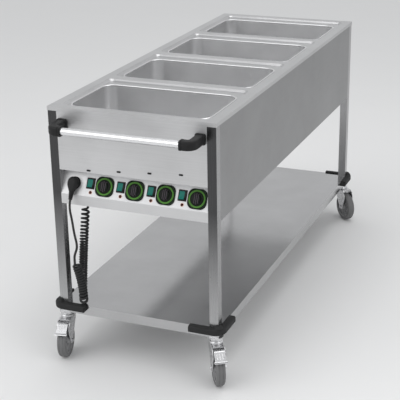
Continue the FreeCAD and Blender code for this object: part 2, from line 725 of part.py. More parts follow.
def dials():
    """Round-cornered plates with a raised scale ring, one behind each knob."""
    pieces = []
    for index in GROUPS:
        plate = tray_block(f"dial_plate_{index}", "dial_side", "dial_side", "dial_thick",
                           ("0", "0"), "0", "dial_corner")
        ring = rod(f"dial_ring_{index}", "ring_radius", "dial_thick + ring_height")
        well_space = rod(f"dial_space_{index}", "knob_radius + 2 * knob_gap", "ring_height + 1",
                         ("0", "0", "dial_thick"))
        hole = rod(f"dial_hole_{index}", "spindle_radius + 1", "dial_thick + 2", ("0", "0", "-1"))
        dial = cut(f"dial_{index}", fuse(f"dial_solid_{index}", [plate, ring]), [well_space, hole])
        pieces.append(on_console(dial, *knob_spot(index), out="foil_thick"))
    settle(group("dial_set", pieces), "thermostat_dials")


def knob(index):
    """A thermostat knob with a ribbed grip, turned with the spindle behind it."""
    body = new_body(f"knob_body_{index}")
    base = "(foil_thick + dial_thick + knob_gap)"
    grip_top = f"{base} + knob_skirt + grip_height"
    turned(body, f"knob_turned_{index}", (
        ("0", f"-{base} - spindle_depth + foil_thick + dial_thick"),
        ("spindle_radius", f"-{base} - spindle_depth + foil_thick + dial_thick"),
        ("spindle_radius", base),
        ("knob_radius", base),
        ("knob_radius - 1", f"{base} + knob_skirt"),
        ("grip_radius + 1", f"{base} + knob_skirt"),
        ("grip_radius - 1.5", grip_top),
        ("0", grip_top)))
    lying = group(f"knob_lying_{index}", [body])
    turn(lying, Vector(1, 0, 0), "90")
    ribs = [block(f"knob_rib_{index}_{place}", "grip_rib", "2 * grip_radius + 2 * grip_rib - 6 * "
                  f"{abs(place)}", "grip_height + 1.5", (f"{place} * 2.2 * grip_rib", "0"),
                  f"{base} + knob_skirt - 1")
            for place in (-1, 0, 1)]
    solid = fuse(f"knob_solid_{index}", [lying] + ribs)
    on_console(solid, *knob_spot(index), shift="centre_y")
    keep(solid, f"knob_{index}")


def thermostats():
    """Thermostat bodies on the back of the console, bored for the spindles."""
    pieces = []
    for index in GROUPS:
        case = block(f"case_{index}", "thermostat_side", "thermostat_side", "thermostat_deep",
                     bottom="-sheet_thick - thermostat_deep")
        bore = rod(f"case_bore_{index}", "spindle_radius + running_fit",
                   "spindle_depth + 2 * knob_gap",
                   ("0", "0", "-spindle_depth - 2 * knob_gap - sheet_thick / 2"))
        case = cut(f"thermostat_{index}", case, [bore])
        pieces.append(on_console(case, *knob_spot(index)))
    settle(group("thermostat_set", pieces), "thermostat_bodies")


# ---------------------------------------------------------------- shelf, bumpers and castors

def shelf():
    """A folded tray between the posts, which run down through its corners."""
    outer = block("shelf_box", "width", "length", "shelf_edge", bottom="shelf_bottom")
    hollow = block("shelf_hollow", "width - 2 * sheet_thick", "length - 2 * sheet_thick",
                   "shelf_edge - 2 * sheet_thick", bottom="shelf_bottom + sheet_thick")
    mouth = block("shelf_mouth", "width - 2 * shelf_lip", "length - 2 * shelf_lip",
                  "2 * sheet_thick", bottom="shelf_bottom - sheet_thick / 2")
    corners = [block(f"shelf_notch_{name}", "post", "post", "shelf_edge",
                     (f"{side} * post_x", f"{end} * post_y"), "shelf_bottom")
               for name, side, end in CORNERS]
    settle(cut("shelf_tray", outer, [hollow, mouth] + corners), "shelf")


def bumper(name, side, end):
    """A rounded rubber corner, outside the shelf's edge and resting on it beside the post."""
    outer_x, outer_y = "(width / 2 + bumper_thick)", "(length / 2 + bumper_thick)"
    middle = (f"{side} * ({outer_x} - bumper_leg / 2)", f"{end} * ({outer_y} - bumper_leg / 2)")
    solid = block(f"bumper_{name}_block", "bumper_leg", "bumper_leg", "bumper_tall", middle,
                  "bumper_bottom")
    corner = Vector(side * number(outer_x), end * number(outer_y), 0)
    outer_faces = (corner.x, corner.y)

    def outer_upright(edge):
        spot = edge.Vertexes[0].Point
        return upright(edge) and abs(spot.x - corner.x) + abs(spot.y - corner.y) < 0.01

    def outer_long(edge):
        ends = [vertex.Point for vertex in edge.Vertexes]
        level = abs(ends[0].z - ends[-1].z) < 0.01
        along_x = all(abs(spot.x - outer_faces[0]) < 0.01 for spot in ends)
        along_y = all(abs(spot.y - outer_faces[1]) < 0.01 for spot in ends)
        return level and (along_x or along_y)

    solid = rounded(f"bumper_{name}_round", solid, [
        ("bumper_corner", outer_upright), ("bumper_edge", outer_long)])
    lip = doc.addObject("Part::Cone", f"bumper_{name}_lip")
    bind(lip, Radius1="bumper_lip_low", Radius2="bumper_lip_high", Height="bumper_lip_tall")
    move(lip, f"{side} * skin_x", f"{end} * skin_y", "bumper_bottom + bumper_tall")
    inside_leg = "(bumper_leg - bumper_thick)"
    shift = "(bumper_thick + bumper_leg) / 2"
    low = block(f"bumper_{name}_low", inside_leg + " + 1", inside_leg + " + 1",
                "shelf_top - bumper_bottom",
                (f"{side} * ({outer_x} - {shift} - 0.5)", f"{end} * ({outer_y} - {shift} - 0.5)"),
                "bumper_bottom")
    high_leg = "(bumper_leg - bumper_thick - sheet_thick)"
    high_shift = "(bumper_thick + sheet_thick + bumper_leg) / 2"
    high = block(f"bumper_{name}_high", high_leg + " + 1", high_leg + " + 1",
                 "bumper_tall + bumper_lip_tall",
                 (f"{side} * ({outer_x} - {high_shift} - 0.5)",
                  f"{end} * ({outer_y} - {high_shift} - 0.5)"), "bumper_bottom")
    joined = fuse(f"bumper_{name}_solid", [solid, lip])
    settle(cut(f"bumper_{name}", joined, [low, high]), f"bumper_{name}")


def post_inserts():
    """Threaded blocks in the feet of the posts that take the castors' stems."""
    pieces = []
    for name, side, end in CORNERS:
        middle = (f"{side} * post_x", f"{end} * post_y")
        solid = block(f"insert_{name}_block", "post - 2 * post_wall", "post - 2 * post_wall",
                      "insert_tall", middle, "shelf_bottom")
        bore = rod(f"insert_{name}_bore", "stem_radius", "insert_tall",
                   (middle[0], middle[1], "shelf_bottom"))
        pieces.append(cut(f"insert_{name}", solid, [bore]))
    settle(group("insert_set", pieces), "post_inserts")


def castor_heads():
    """Fixed castor heads: stem, plate, swivel race and kingpin."""
    pieces = []
    for name, side, end in CORNERS:
        spot = (f"{side} * post_x", f"{end} * post_y")
        stem = rod(f"head_{name}_stem", "stem_radius", "stem_reach", (*spot, "shelf_bottom"))
        plate = rod(f"head_{name}_plate", "head_radius", "head_thick",
                    (*spot, "shelf_bottom - head_thick"))
        race = rod(f"head_{name}_race", "race_radius", "race_tall",
                   (*spot, "shelf_bottom - head_thick - race_tall"))
        low = "crown_under - swivel_gap - kingpin_head_thick"
        pin = rod(f"head_{name}_pin", "kingpin_radius", f"shelf_bottom - ({low})", (*spot, low))
        cap = rod(f"head_{name}_cap", "kingpin_head", "kingpin_head_thick", (*spot, low))
        pieces.append(fuse(f"head_{name}", [stem, plate, race, pin, cap]))
    settle(group("head_set", pieces), "castor_heads")


def castor_spot(thing, name, side, end, out="0", height="0"):
    """Stand a shape in its castor, turned to the wheel's heading."""
    heading = f"turn_{name}"
    turn(thing, Vector(0, 0, 1), heading)
    return move(thing, f"{side} * post_x + ({out}) * cos({heading})",
                f"{end} * post_y + ({out}) * sin({heading}) + centre_y", height)


def fork(name, side, end):
    """A pressed fork: swivel cup, bridge and two plates down to the axle's eyes."""
    body = new_body(f"fork_body_{name}")
    profile = new_sketch(body, f"fork_profile_{name}", "XZ_Plane")
    eye = "(axle_head + 3)"
    outline(profile, (
        ("0 - crown_radius", "crown_under + fork_plate"),
        ("0 - crown_radius", "crown_under - 8"),
        ("0 - 6", "(crown_under + wheel_radius) / 2 + 4"),
        (f"trail - {eye}", f"wheel_radius - {eye} / 2"),
        (f"trail - {eye} / 2", f"wheel_radius - {eye}"),
        (f"trail + {eye} / 2", f"wheel_radius - {eye}"),
        (f"trail + {eye}", f"wheel_radius - {eye} / 2"),
        ("trail + axle_head + 6", "(crown_under + wheel_radius) / 2"),
        ("trail + 6", "crown_under - 2"),
        ("trail + 2", "crown_under + fork_plate")))
    pad(body, f"fork_pad_{name}", profile, "fork_gap + 2 * fork_plate")
    inside = span(f"fork_{name}_gap", ("0 - crown_radius - 2", "trail + 4 * axle_head"),
                  ("-fork_gap / 2", "fork_gap / 2"), ("0", "crown_under"))
    cup = rod(f"fork_{name}_cup", "crown_radius", "crown_tall - fork_plate",
              ("0", "0", "crown_under + fork_plate"))
    pin = rod(f"fork_{name}_pin", "kingpin_radius + running_fit", "crown_tall + 2",
              ("0", "0", "crown_under - 1"))
    axle = rod(f"fork_{name}_axle", "axle_radius", "fork_gap + 4 * fork_plate",
               ("trail", "-fork_gap / 2 - 2 * fork_plate", "wheel_radius"), "y")
    tools = [inside, pin, axle]
    if end < 0:
        tools.append(rod(f"fork_{name}_pedal", "pedal_pin + running_fit",
                         "fork_gap + 4 * fork_plate",
                         ("pedal_pivot_out", "-fork_gap / 2 - 2 * fork_plate", "pedal_pivot_z"),
                         "y"))
    solid = cut(f"fork_{name}", fuse(f"fork_{name}_solid", [body, cup]), tools)
    keep(castor_spot(solid, name, side, end), f"castor_fork_{name}")


def wheel(name, side, end):
    """A wheel turned about its axle: hub, web, rim and a rounded tread."""
    body = new_body(f"wheel_body_{name}")
    bore = "axle_radius + running_fit"
    rim = "wheel_radius - tread_depth"
    half_hub, half_web, half_tread = "hub_width / 2", "web_thick / 2", "tread_width / 2"
    right = (
        ("wheel_radius", "tread_width / 4"),
        ("wheel_radius - 2", "tread_width * 0.4"),
        ("wheel_radius - 5", half_tread),
        (f"{rim} - 4", half_tread),
        (f"{rim} - 7", half_web),
        ("hub_radius + 4", half_web),
        ("hub_radius", half_hub),
        (bore, half_hub))
    left = tuple((radius, f"-({along})") for radius, along in reversed(right))
    turned(body, f"wheel_turned_{name}", right + left)
    keep(castor_spot(body, name, side, end, out="trail", height="wheel_radius"),
         f"castor_wheel_{name}")


def axle(name, side, end):
    """The bolt and nut that carry a wheel between the fork's plates."""
    half = "fork_gap / 2 + fork_plate"
    bolt = rod(f"axle_{name}_bolt", "axle_radius", f"2 * ({half} + axle_head_thick)",
               ("0", f"-({half} + axle_head_thick)", "0"), "y")
    head = rod(f"axle_{name}_head", "axle_head", "axle_head_thick", ("0", half, "0"), "y")
    nut = rod(f"axle_{name}_nut", "axle_head", "axle_head_thick",
              ("0", f"-({half} + axle_head_thick)", "0"), "y")
    solid = fuse(f"axle_{name}", [bolt, head, nut])
    keep(castor_spot(solid, name, side, end, out="trail", height="wheel_radius"),
         f"castor_axle_{name}")


def pedal(name, side, end):
    """A brake pedal that tips down onto the wheel, on a pin through the fork's plates."""
    body = new_body(f"pedal_body_{name}")
    profile = new_sketch(body, f"pedal_profile_{name}", "XZ_Plane")
    hinge_x, hinge_z = "pedal_pivot_out", "pedal_pivot_z"
    outline(profile, (
        (f"{hinge_x} - 4", f"{hinge_z} + 4"), (f"{hinge_x} - 4", f"{hinge_z} - 3"),
        (f"{hinge_x} + 6", f"{hinge_z} - 3"), (f"{hinge_x} + 26", f"{hinge_z} + 2"),
        (f"{hinge_x} + 26", f"{hinge_z} + 6"), (f"{hinge_x} + 6", f"{hinge_z} + 5")))
    pad(body, f"pedal_pad_{name}", profile, "fork_gap - 2 * pedal_gap")
    plate = new_body(f"pedal_plate_{name}")
    side_view = new_sketch(plate, f"pedal_view_{name}", "XZ_Plane")
    outline(side_view, (
        (f"{hinge_x} + 20", f"{hinge_z} + 6"), (f"{hinge_x} + 20", f"{hinge_z} + 1"),
        (f"{hinge_x} + 28", f"{hinge_z} - 1"), (f"{hinge_x} + 57", f"{hinge_z} - 26"),
        (f"{hinge_x} + 66", f"{hinge_z} - 27"), (f"{hinge_x} + 66", f"{hinge_z} - 22"),
        (f"{hinge_x} + 59", f"{hinge_z} - 21"), (f"{hinge_x} + 31", f"{hinge_z} + 4")))
    pad(plate, f"pedal_tread_{name}", side_view, "pedal_wide")
    pin = rod(f"pedal_{name}_pin", "pedal_pin", "fork_gap + 2 * fork_plate",
              ("pedal_pivot_out", "-fork_gap / 2 - fork_plate", "pedal_pivot_z"), "y")
    solid = fuse(f"pedal_{name}", [body, plate, pin])
    keep(castor_spot(solid, name, side, end), f"brake_pedal_{name}")


# ---------------------------------------------------------------- plug, socket and gland

def parking_socket():
    """A blind socket in the console that holds the plug when the trolley is moved."""
    flange = rod("socket_flange", "socket_radius", "socket_thick")
    case = rod("socket_case", "plug_nose + socket_wall", "plug_nose_long + socket_wall",
               ("0", "0", "socket_thick - plug_nose_long - socket_wall"))
    bore = rod("socket_bore", "plug_nose", "plug_nose_long",
               ("0", "0", "socket_thick - plug_nose_long"))
    solid = cut("socket", fuse("socket_solid", [flange, case]), [bore])
    keep(on_console(solid, "plug_x", "plug_up", shift="centre_y"), "parking_socket")


def plug():
    """The mains plug, parked in its socket, with the cord's boot down its lower side."""
    nose = rod("plug_nose_rod", "plug_nose", "plug_nose_long",
               ("0", "0", "socket_thick - plug_nose_long"))
    case = rod("plug_case", "plug_radius", "plug_long", ("0", "0", "socket_thick"))
    case = rounded("plug_round", case, [("plug_radius / 3", at_height("socket_thick + plug_long"))])
    boot = doc.addObject("Part::Cone", "plug_boot")
    boot.Placement = Placement(Vector(), TURN_TO["-y"])
    bind(boot, Radius1="boot_radius + 2", Radius2="boot_radius", Height="boot_long")
    move(boot, "0", "0", "boot_out")
    solid = fuse("plug_solid", [nose, case, boot])
    keep(on_console(solid, "plug_x", "plug_up", shift="centre_y"), "mains_plug")


def gland():
    """The strain relief under the bottom pan, where the cord leaves the housing."""
    across, along = GLAND_SPOT
    pan_under = "housing_bottom + sheet_thick"
    nut = rod("gland_nut", "gland_radius", "5", (across, along, pan_under + " + sheet_thick"))
    neck = rod("gland_neck_rod", "gland_neck", "sheet_thick", (across, along, pan_under))
    cup = rod("gland_cup", "gland_radius", "gland_tall", (across, along, pan_under + " - gland_tall"))
    settle(fuse("gland", [nut, neck, cup]), "cord_gland")


# ---------------------------------------------------------------- cord

def console_point(across, up, out):
    lean = math.radians(number("console_tilt"))
    along = up * math.sin(lean) - out * math.cos(lean) - number("skin_y")
    return Vector(across, along, up * math.cos(lean) + out * math.sin(lean) + number("console_fold"))


def down_face():
    lean = math.radians(number("console_tilt"))
    return Vector(0, -math.sin(lean), -math.cos(lean))


def square_to(side, heading):
    return (side - heading * side.dot(heading)).normalize()


def curl_reach():
    """Radius of the curls' centreline."""
    return (number("curl_outer") - number("cord")) / 2


def from_corner(across, along, up):
    """A point laid out from the left post's inner side and the front."""
    return Vector(across - number("inner_x"), along - number("skin_y"), up)


def curl_route():
    """The curly cord's axis: from its first curl, under the lead, to the gland's lower face."""
    shelf = number("shelf_top")
    top = number("housing_bottom + sheet_thick - gland_tall")
    hung = [from_corner(across, along, shelf + up) for across, along, up in CURL_AXIS]
    return hung + [Vector(number(GLAND_SPOT[0]), number(GLAND_SPOT[1]), top)]


def curl_entry():
    """Where the cord, falling on the front of the curls, starts to turn into the first one."""
    first, second = curl_route()[:2]
    side = square_to(TOWARD_FRONT, (second - first).normalize())
    return first + side * curl_reach() + UPWARD * number("curl_drop")


def lead_route():
    """The lead's corners: straight out of the boot, and straight down into the curly cord."""
    boot_end = console_point(number("plug_x"), number("plug_up - boot_long"), number("boot_out"))
    cord = number("cord")
    leaving = boot_end + down_face() * 3 * cord
    meeting = curl_entry() + UPWARD * cord
    arriving = meeting + UPWARD * 3 * cord
    middle = [from_corner(across, along, arriving.z + (leaving.z - arriving.z) * share)
              for across, along, share in LEAD_MIDDLE]
    return [boot_end, leaving] + middle + [arriving, meeting]


def tangent_arcs(route, radius_at):
    """Edges of straight runs joined by arcs; radius_at(before, after, half turn) sizes each arc."""
    edges, start = [], route[0]
    for index in range(1, len(route) - 1):
        corner = route[index]
        before, after = corner - route[index - 1], route[index + 1] - corner
        half = before.getAngle(after) / 2
        radius = radius_at(before.Length, after.Length, half)
        reach = radius * math.tan(half)
        entry = corner - before.normalize() * reach
        leave = corner + after.normalize() * reach
        inward = (leave - corner) + (entry - corner)
        middle = corner + inward.normalize() * (radius / math.cos(half) - radius)
        edges.append(Part.LineSegment(start, entry).toShape())
        edges.append(Part.Arc(entry, middle, leave).toShape())
        start = leave
    edges.append(Part.LineSegment(start, route[-1]).toShape())
    return edges


def swept(edges, radius):
    """A round tube along a smooth chain of edges."""
    start = edges[0].Vertexes[0].Point
    heading = edges[0].tangentAt(edges[0].FirstParameter)
    sweep = Part.BRepOffsetAPI.MakePipeShell(Part.Wire(edges))
    sweep.add(Part.Wire([Part.makeCircle(radius, start, heading)]))
    sweep.build()
    sweep.makeSolid()
    return sweep.shape()


def cord_piece(edges, label):
    """Make a cord's tube, compare its volume with its section times its length, and name it."""
    tube = swept(edges, number("cord") / 2)
    long = sum(edge.Length for edge in edges)
    section = math.pi * number("cord") ** 2 / 4
    print(label, "length", round(long), "volume ratio", round(tube.Volume / (long * section), 4))
    feature = doc.addObject("Part::Feature", label + "_tube")
    feature.Shape = tube
    settle(feature, label)


def lead():
    """The straight part of the cord, a tube along runs and wide arcs."""
    radii = []

    def widest(before, after, half):
        radii.append(0.45 * min(before, after) / math.tan(half))
        return radii[-1]

    cord_piece(tangent_arcs(lead_route(), widest), "mains_lead")
    print("lead radii", [round(radius) for radius in radii])


def axis_samples(route, step):
    """Points along the curls' axis with their headings, a side that doesn't twist, and the
    least pitch at which the turns stay apart on the inner side of a bend."""
    radii = iter(CURL_RADII)
    closest = number("cord + curl_gap")
    samples, side, travelled = [], TOWARD_FRONT, 0.0
    for edge in tangent_arcs(route, lambda before, after, half: next(radii)):
        bend = edge.Curve.Radius if hasattr(edge.Curve, "Radius") else math.inf
        count = int(edge.Length / step) + 1
        for place in range(count):
            at = edge.Length * place / count
            parameter = edge.getParameterByLength(at)
            heading = edge.tangentAt(parameter)
            side = square_to(side, heading)
            needed = closest / (1 - curl_reach() / bend)
            samples.append((travelled + at, edge.valueAt(parameter), heading, side, needed))
        travelled += edge.Length
    return samples, travelled


def blend(low, high, share):
    share = min(1.0, max(0.0, share))
    return low + (high - low) * share * share * (3 - 2 * share)


def curl_line():
    """The curls' centreline as angles and points, from the lead's end to the gland."""
    cord, slack = number("cord"), number("curl_pitch")
    step = 0.25
    samples, total = axis_samples(curl_route(), step)
    around_bend = int(cord / step)
    line, angle, last = [], 0.0, 0.0
    for place, (travelled, point, heading, side, _) in enumerate(samples):
        left = total - travelled - cord
        if left < 0:
            break
        pulled = max(0.0, 1 - left / number("curl_pulled"))
        pitch = slack + (number("curl_top_pitch") - slack) * pulled
        nearby = samples[max(0, place - around_bend):place + around_bend:8]
        pitch = max(pitch, max(needed for _, _, _, _, needed in nearby))
        pitch = blend(3 * number("curl_top_pitch"), pitch, left / number("curl_ease"))
        reach = curl_reach() * blend(0, 1, left / number("curl_ease"))
        angle += (travelled - last) * 2 * math.pi / pitch
        last = travelled
        around = heading.cross(side)
        line.append((angle, point + side * reach * math.cos(angle) + around * reach * math.sin(angle)))
    return line


def biarc(start, start_heading, end, end_heading):
    """Two arcs that join two points with given headings."""
    chord, both = end - start, start_heading + end_heading
    across = chord.dot(both)
    spread = 2 * (1 - start_heading.dot(end_heading))
    if spread < 1e-9:
        reach = chord.dot(chord) / (2 * across)
    else:
        reach = (math.sqrt(across * across + spread * chord.dot(chord)) - across) / spread
    first, second = start + start_heading * reach, end - end_heading * reach
    joint = (first + second) * 0.5
    return arc_through(start, first, joint) + arc_through(joint, second, end)


def arc_through(start, corner, end):
    """The arc between two points whose tangents meet at a corner."""
    middle = (start + end) * 0.5
    rise, half = corner - middle, (end - start).Length / 2
    if rise.Length < 1e-4:
        return [Part.LineSegment(start, end).toShape()]
    angle = math.atan2(rise.Length, half)
    return [Part.Arc(start, middle + rise.normalize() * half * math.tan(angle / 2), end).toShape()]


def curly_cord():
    """The curls: one unbroken tube wound round the hanging axis, through half turns of biarcs."""
    cord, line = number("cord"), curl_line()
    entry, leave = curl_entry(), curl_route()[-1]
    placed = [(entry, UPWARD * -1)]
    for index in range(1, len(line) - 1):
        before, after = line[index - 1][0] / math.pi - 0.5, line[index][0] / math.pi - 0.5
        if math.floor(before) != math.floor(after):
            heading = (line[index + 1][1] - line[index - 1][1]).normalize()
            placed.append((line[index][1], heading))
    placed.append((leave - UPWARD * cord, UPWARD))
    edges = [Part.LineSegment(entry + UPWARD * cord, entry).toShape()]
    for (start, heading), (stop, leaving) in zip(placed, placed[1:]):
        edges += biarc(start, heading, stop, leaving)
    edges.append(Part.LineSegment(leave - UPWARD * cord, leave).toShape())
    report_curls(edges, cord, line[-1][0])
    cord_piece(edges, "curly_cord")


def report_curls(edges, cord, angle):
    """Print the curls' count, tightest bend and least gap from turn to turn."""
    points, travelled = [], 0.0
    for edge in edges:
        count = int(edge.Length) + 1
        for place in range(count):
            at = edge.Length * place / count
            points.append((travelled + at, edge.valueAt(edge.getParameterByLength(at))))
        travelled += edge.Length
    near = 2.2 * cord
    least = min((one - other).Length
                for index, (start, one) in enumerate(points)
                for stop, other in points[index + 1:index + 160] if stop - start > near)
    radii = [edge.Curve.Radius for edge in edges if hasattr(edge.Curve, "Radius")]
    print("curls", round(angle / (2 * math.pi), 1), "tightest bend", round(min(radii), 2),
          "least gap", round(least - cord, 2))


# ---------------------------------------------------------------- assembly

def build():
    fill_sheet()
    top_deck()
    for index in GROUPS:
        well(index)
    heaters()
    for name, side, end in CORNERS:
        corner_post(name, side, end)
    side_panel("left", -1)
    side_panel("right", 1)
    rear_panel()
    bottom_pan()
    front_panel()
    slot_inserts()
    handle_tube()
    elbow("left", -1)
    elbow("right", 1)
    handle_bolts()
    console()
    foil()
    rocker_frames()
    lamps()
    dials()
    thermostats()
    for index in GROUPS:
        rocker(index)
        knob(index)
    shelf()
    for name, side, end in CORNERS:
        bumper(name, side, end)
    post_inserts()
    castor_heads()
    for name, side, end in CORNERS:
        fork(name, side, end)
        wheel(name, side, end)
        axle(name, side, end)
        if end < 0:
            pedal(name, side, end)
    parking_socket()
    plug()
    gland()
    lead()
    curly_cord()
    doc.recompute()


def check_and_write():
    """Stop at any failed object or broken shape, then write one file per sub-part."""
    for thing in doc.Objects:
        if "Invalid" in thing.State or "Error" in thing.State:
            raise RuntimeError(f"{thing.Name} failed: {thing.State}")
    for thing in kept:
        if thing.Shape.isNull() or not thing.Shape.isValid():
            raise RuntimeError(f"{thing.Label} has a broken shape")
    os.makedirs("parts", exist_ok=True)
    for thing in kept:
        thing.Shape.exportStep(f"parts/{thing.Label}.step")
        solids = len(thing.Shape.Solids)
        print(f"{thing.Label:28s} solids {solids} volume {thing.Shape.Volume / 1000:10.1f} cm3")
    print(len(kept), "sub-parts")


build()
check_and_write()
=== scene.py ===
"""Looks of the heated serving trolley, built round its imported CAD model.

Metres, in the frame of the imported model: +Z up, the controls and the push handle on the -Y end.
"""

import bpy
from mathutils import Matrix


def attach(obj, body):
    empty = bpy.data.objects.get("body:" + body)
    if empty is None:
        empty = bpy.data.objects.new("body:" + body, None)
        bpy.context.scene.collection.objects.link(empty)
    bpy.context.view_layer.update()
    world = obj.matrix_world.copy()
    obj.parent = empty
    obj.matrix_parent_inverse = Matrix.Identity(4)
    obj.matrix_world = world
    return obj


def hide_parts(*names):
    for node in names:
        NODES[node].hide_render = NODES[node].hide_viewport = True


bl_info = {
    "name": "Heated Serving Trolley",
    "version": (1, 0, 0),
    "blender": (4, 5, 0),
    "location": "3D View > Sidebar > Trolley",
    "description": "Builds a heated serving trolley with four wells, a lower shelf and castors",
    "category": "Object",
}
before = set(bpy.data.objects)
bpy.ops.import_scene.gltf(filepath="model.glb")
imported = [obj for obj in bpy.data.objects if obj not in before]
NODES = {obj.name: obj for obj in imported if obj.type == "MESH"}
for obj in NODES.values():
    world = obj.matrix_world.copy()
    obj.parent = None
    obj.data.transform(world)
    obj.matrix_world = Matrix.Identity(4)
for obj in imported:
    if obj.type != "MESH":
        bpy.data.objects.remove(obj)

import math

import bmesh
import bpy
from bpy.props import FloatProperty, FloatVectorProperty
from bpy.types import Operator, Panel, PropertyGroup
from mathutils import Matrix, Vector

CORNERS = (("front_left", -1, -1), ("front_right", 1, -1), ("rear_left", -1, 1), ("rear_right", 1, 1))
GROUPS = (1, 2, 3, 4)  # one for each well: its switch, lamp, dial and knob
X, Y, Z = Vector((1, 0, 0)), Vector((0, 1, 0)), Vector((0, 0, 1))
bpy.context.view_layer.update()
FRONT = -0.788  # the front panel's face
FOIL = 0.0008  # the foil's thickness on the console
# The castors' swivels: half their distance across and along, and the middle between front and rear.
POST_X, POST_Y, MIDDLE_Y = 0.2875, 0.8075, 0.0355
FORK_PLATE = 0.003
# The way each wheel trails, in degrees from +X.
CASTOR_HEADINGS = {"front_left": 282, "front_right": 302, "rear_left": 226, "rear_right": 314}


# ---------------------------------------------------------------- sizes and colours

def length(name, default, description):
    """A size in metres that a user may change."""
    return FloatProperty(name=name, default=default, description=description, unit="LENGTH", precision=4)


def colour(name, default, description):
    """A colour that a user may change."""
    return FloatVectorProperty(name=name, default=default, description=description, size=3,
                               subtype="COLOR", min=0.0, max=1.0)


class TrolleySteel(PropertyGroup):
    """Colours of the sheet steel and the plating."""
    panel: colour("Panels", (0.60, 0.60, 0.605), "Brushed steel of the front and console")
    # The long sides' colour is a darker copy of the panels' steel: painted shade.
    side: colour("Sides", (0.31, 0.31, 0.314), "Brushed steel of the long sides")
    top: colour("Top", (0.56, 0.56, 0.565), "Brushed steel of the top and its bars")
    well: colour("Wells", (0.76, 0.76, 0.765), "Drawn steel inside the wells")
    # These three colours are painted reflection and light on the front tubes: dark forward faces high up,
    # lighter near the shelf and on the other faces.
    post: colour("Posts", (0.075, 0.075, 0.077), "Smooth steel of the front tubes, facing forward")
    painted_foot_reflection: colour("Feet", (0.46, 0.46, 0.465), "The front tubes near the shelf")
    flank: colour("Flanks", (0.36, 0.36, 0.365), "The front tubes' other faces")
    rear_post: colour("Rear posts", (0.45, 0.45, 0.454), "Smooth steel of the rear tubes")
    shelf: colour("Shelf", (0.50, 0.50, 0.505), "Brushed steel of the lower shelf")
    console: colour("Console", (0.66, 0.66, 0.665), "Matt steel of the console round the foil")
    zinc: colour("Plating", (0.66, 0.66, 0.67), "Bright zinc plate of the castors")


class TrolleyControls(PropertyGroup):
    """Sizes of the switches, lamps, dials and knobs, and their places on the leaning face."""
    tilt: FloatProperty(name="Tilt", default=math.radians(27), subtype="ANGLE", unit="ROTATION",
                        description="Lean of the face from upright")
    fold: length("Fold", 0.619, "Height of the face's lower edge")
    pitch: length("Pitch", 0.113, "Distance from one group of controls to the next")
    switch_shift: length("Switch shift", 0.0049, "Switch from the middle of its group")
    switch_up: length("Switch height", 0.0455, "Switch above the fold")
    switch_wide: length("Switch width", 0.0245, "Width of a switch's opening")
    switch_tall: length("Switch length", 0.029, "Length of a switch's opening")
    lamp_shift: length("Lamp shift", 0.0079, "Lamp from the middle of its group")
    lamp_up: length("Lamp height", 0.0145, "Lamp above the fold")
    knob_shift: length("Knob shift", 0.0583, "Knob from the middle of its group")
    knob_up: length("Knob height", 0.0398, "Knob above the fold")
    dial_side: length("Dial", 0.068, "Side of the plate behind a knob")
    ring_radius: length("Scale ring", 0.030, "Outer radius of the scale ring")
    knob_radius: length("Knob", 0.024, "Radius of a knob's skirt")
    grip_radius: length("Grip", 0.0155, "Radius of a knob's grip")


class TrolleyHandle(PropertyGroup):
    """Sizes of the push handle."""
    height: length("Height", 0.869, "Height of the bar's axis")
    standoff: length("Standoff", 0.0765, "Bar's axis in front of the panel")
    half: length("Half length", 0.211, "Bar's middle to an elbow's collar")
    tube: length("Tube", 0.0125, "Radius of the bar")
    leg: length("Leg", 0.250, "Middle of the trolley to an elbow's leg")
    bend: length("Bend", 0.020, "Radius of an elbow's bend")
    elbow: length("Elbow", 0.018, "Half the thickness of an elbow")


class TrolleyCastor(PropertyGroup):
    """Sizes of the castors."""
    wheel_radius: length("Wheel", 0.0625, "Radius of a wheel")
    tread: length("Tread", 0.032, "Width of a wheel's tread")
    trail: length("Trail", 0.038, "Axle behind the swivel axis")
    fork_gap: length("Fork gap", 0.040, "Clear width between a fork's plates")


class TrolleyCord(PropertyGroup):
    """Sizes and colour of the mains cord and its plug."""
    plug_x: length("Plug", -0.2255, "Parked plug across the trolley")
    plug_up: length("Plug height", 0.041, "Parked plug above the fold")
    plug_out: length("Boot", 0.015, "Axis of the plug's boot in front of the face")
    diameter: length("Diameter", 0.0082, "Diameter of the cord")
    curl_outer: length("Curl", 0.032, "Outer diameter of the curls")
    curl_pitch: length("Pitch", 0.009, "Distance between curls where the cord is slack")
    sheath: colour("Sheath", (0.028, 0.028, 0.0285), "Colour of the cord")


class TrolleyStage(PropertyGroup):
    """The floor and the lamps."""
    floor: colour("Floor", (0.80, 0.80, 0.80), "Colour of the plain floor")
    lamps: FloatProperty(name="Lamps", default=1.0, min=0.0,
                         description="Brightness of all lamps together")


def settings():
    """The steel's, the cord's and the stage's values."""
    scene = bpy.context.scene
    return scene.trolley_steel, scene.trolley_cord, scene.trolley_stage


# ---------------------------------------------------------------- shader groups

def node_group(name, inputs, outputs):
    """An empty shader group with float, colour and vector sockets, and its two end nodes."""
    group = bpy.data.node_groups.new(name, "ShaderNodeTree")
    kinds = {"value": "NodeSocketFloat", "colour": "NodeSocketColor", "vector": "NodeSocketVector"}
    for socket, kind, default in inputs:
        made = group.interface.new_socket(name=socket, in_out="INPUT", socket_type=kinds[kind])
        if default is not None:
            made.default_value = default
    for socket, kind in outputs:
        group.interface.new_socket(name=socket, in_out="OUTPUT", socket_type=kinds[kind])
    start = group.nodes.new("NodeGroupInput")
    end = group.nodes.new("NodeGroupOutput")
    return group, start.outputs, end.inputs


def add(tree, kind, attributes=(), links=(), values=()):
    """A node with attributes, linked inputs and plain input values."""
    node = tree.nodes.new(kind)
    for attribute, value in dict(attributes).items():
        setattr(node, attribute, value)
    for socket, value in dict(values).items():
        node.inputs[socket].default_value = value
    for socket, source in dict(links).items():
        tree.links.new(source, node.inputs[socket])
    return node


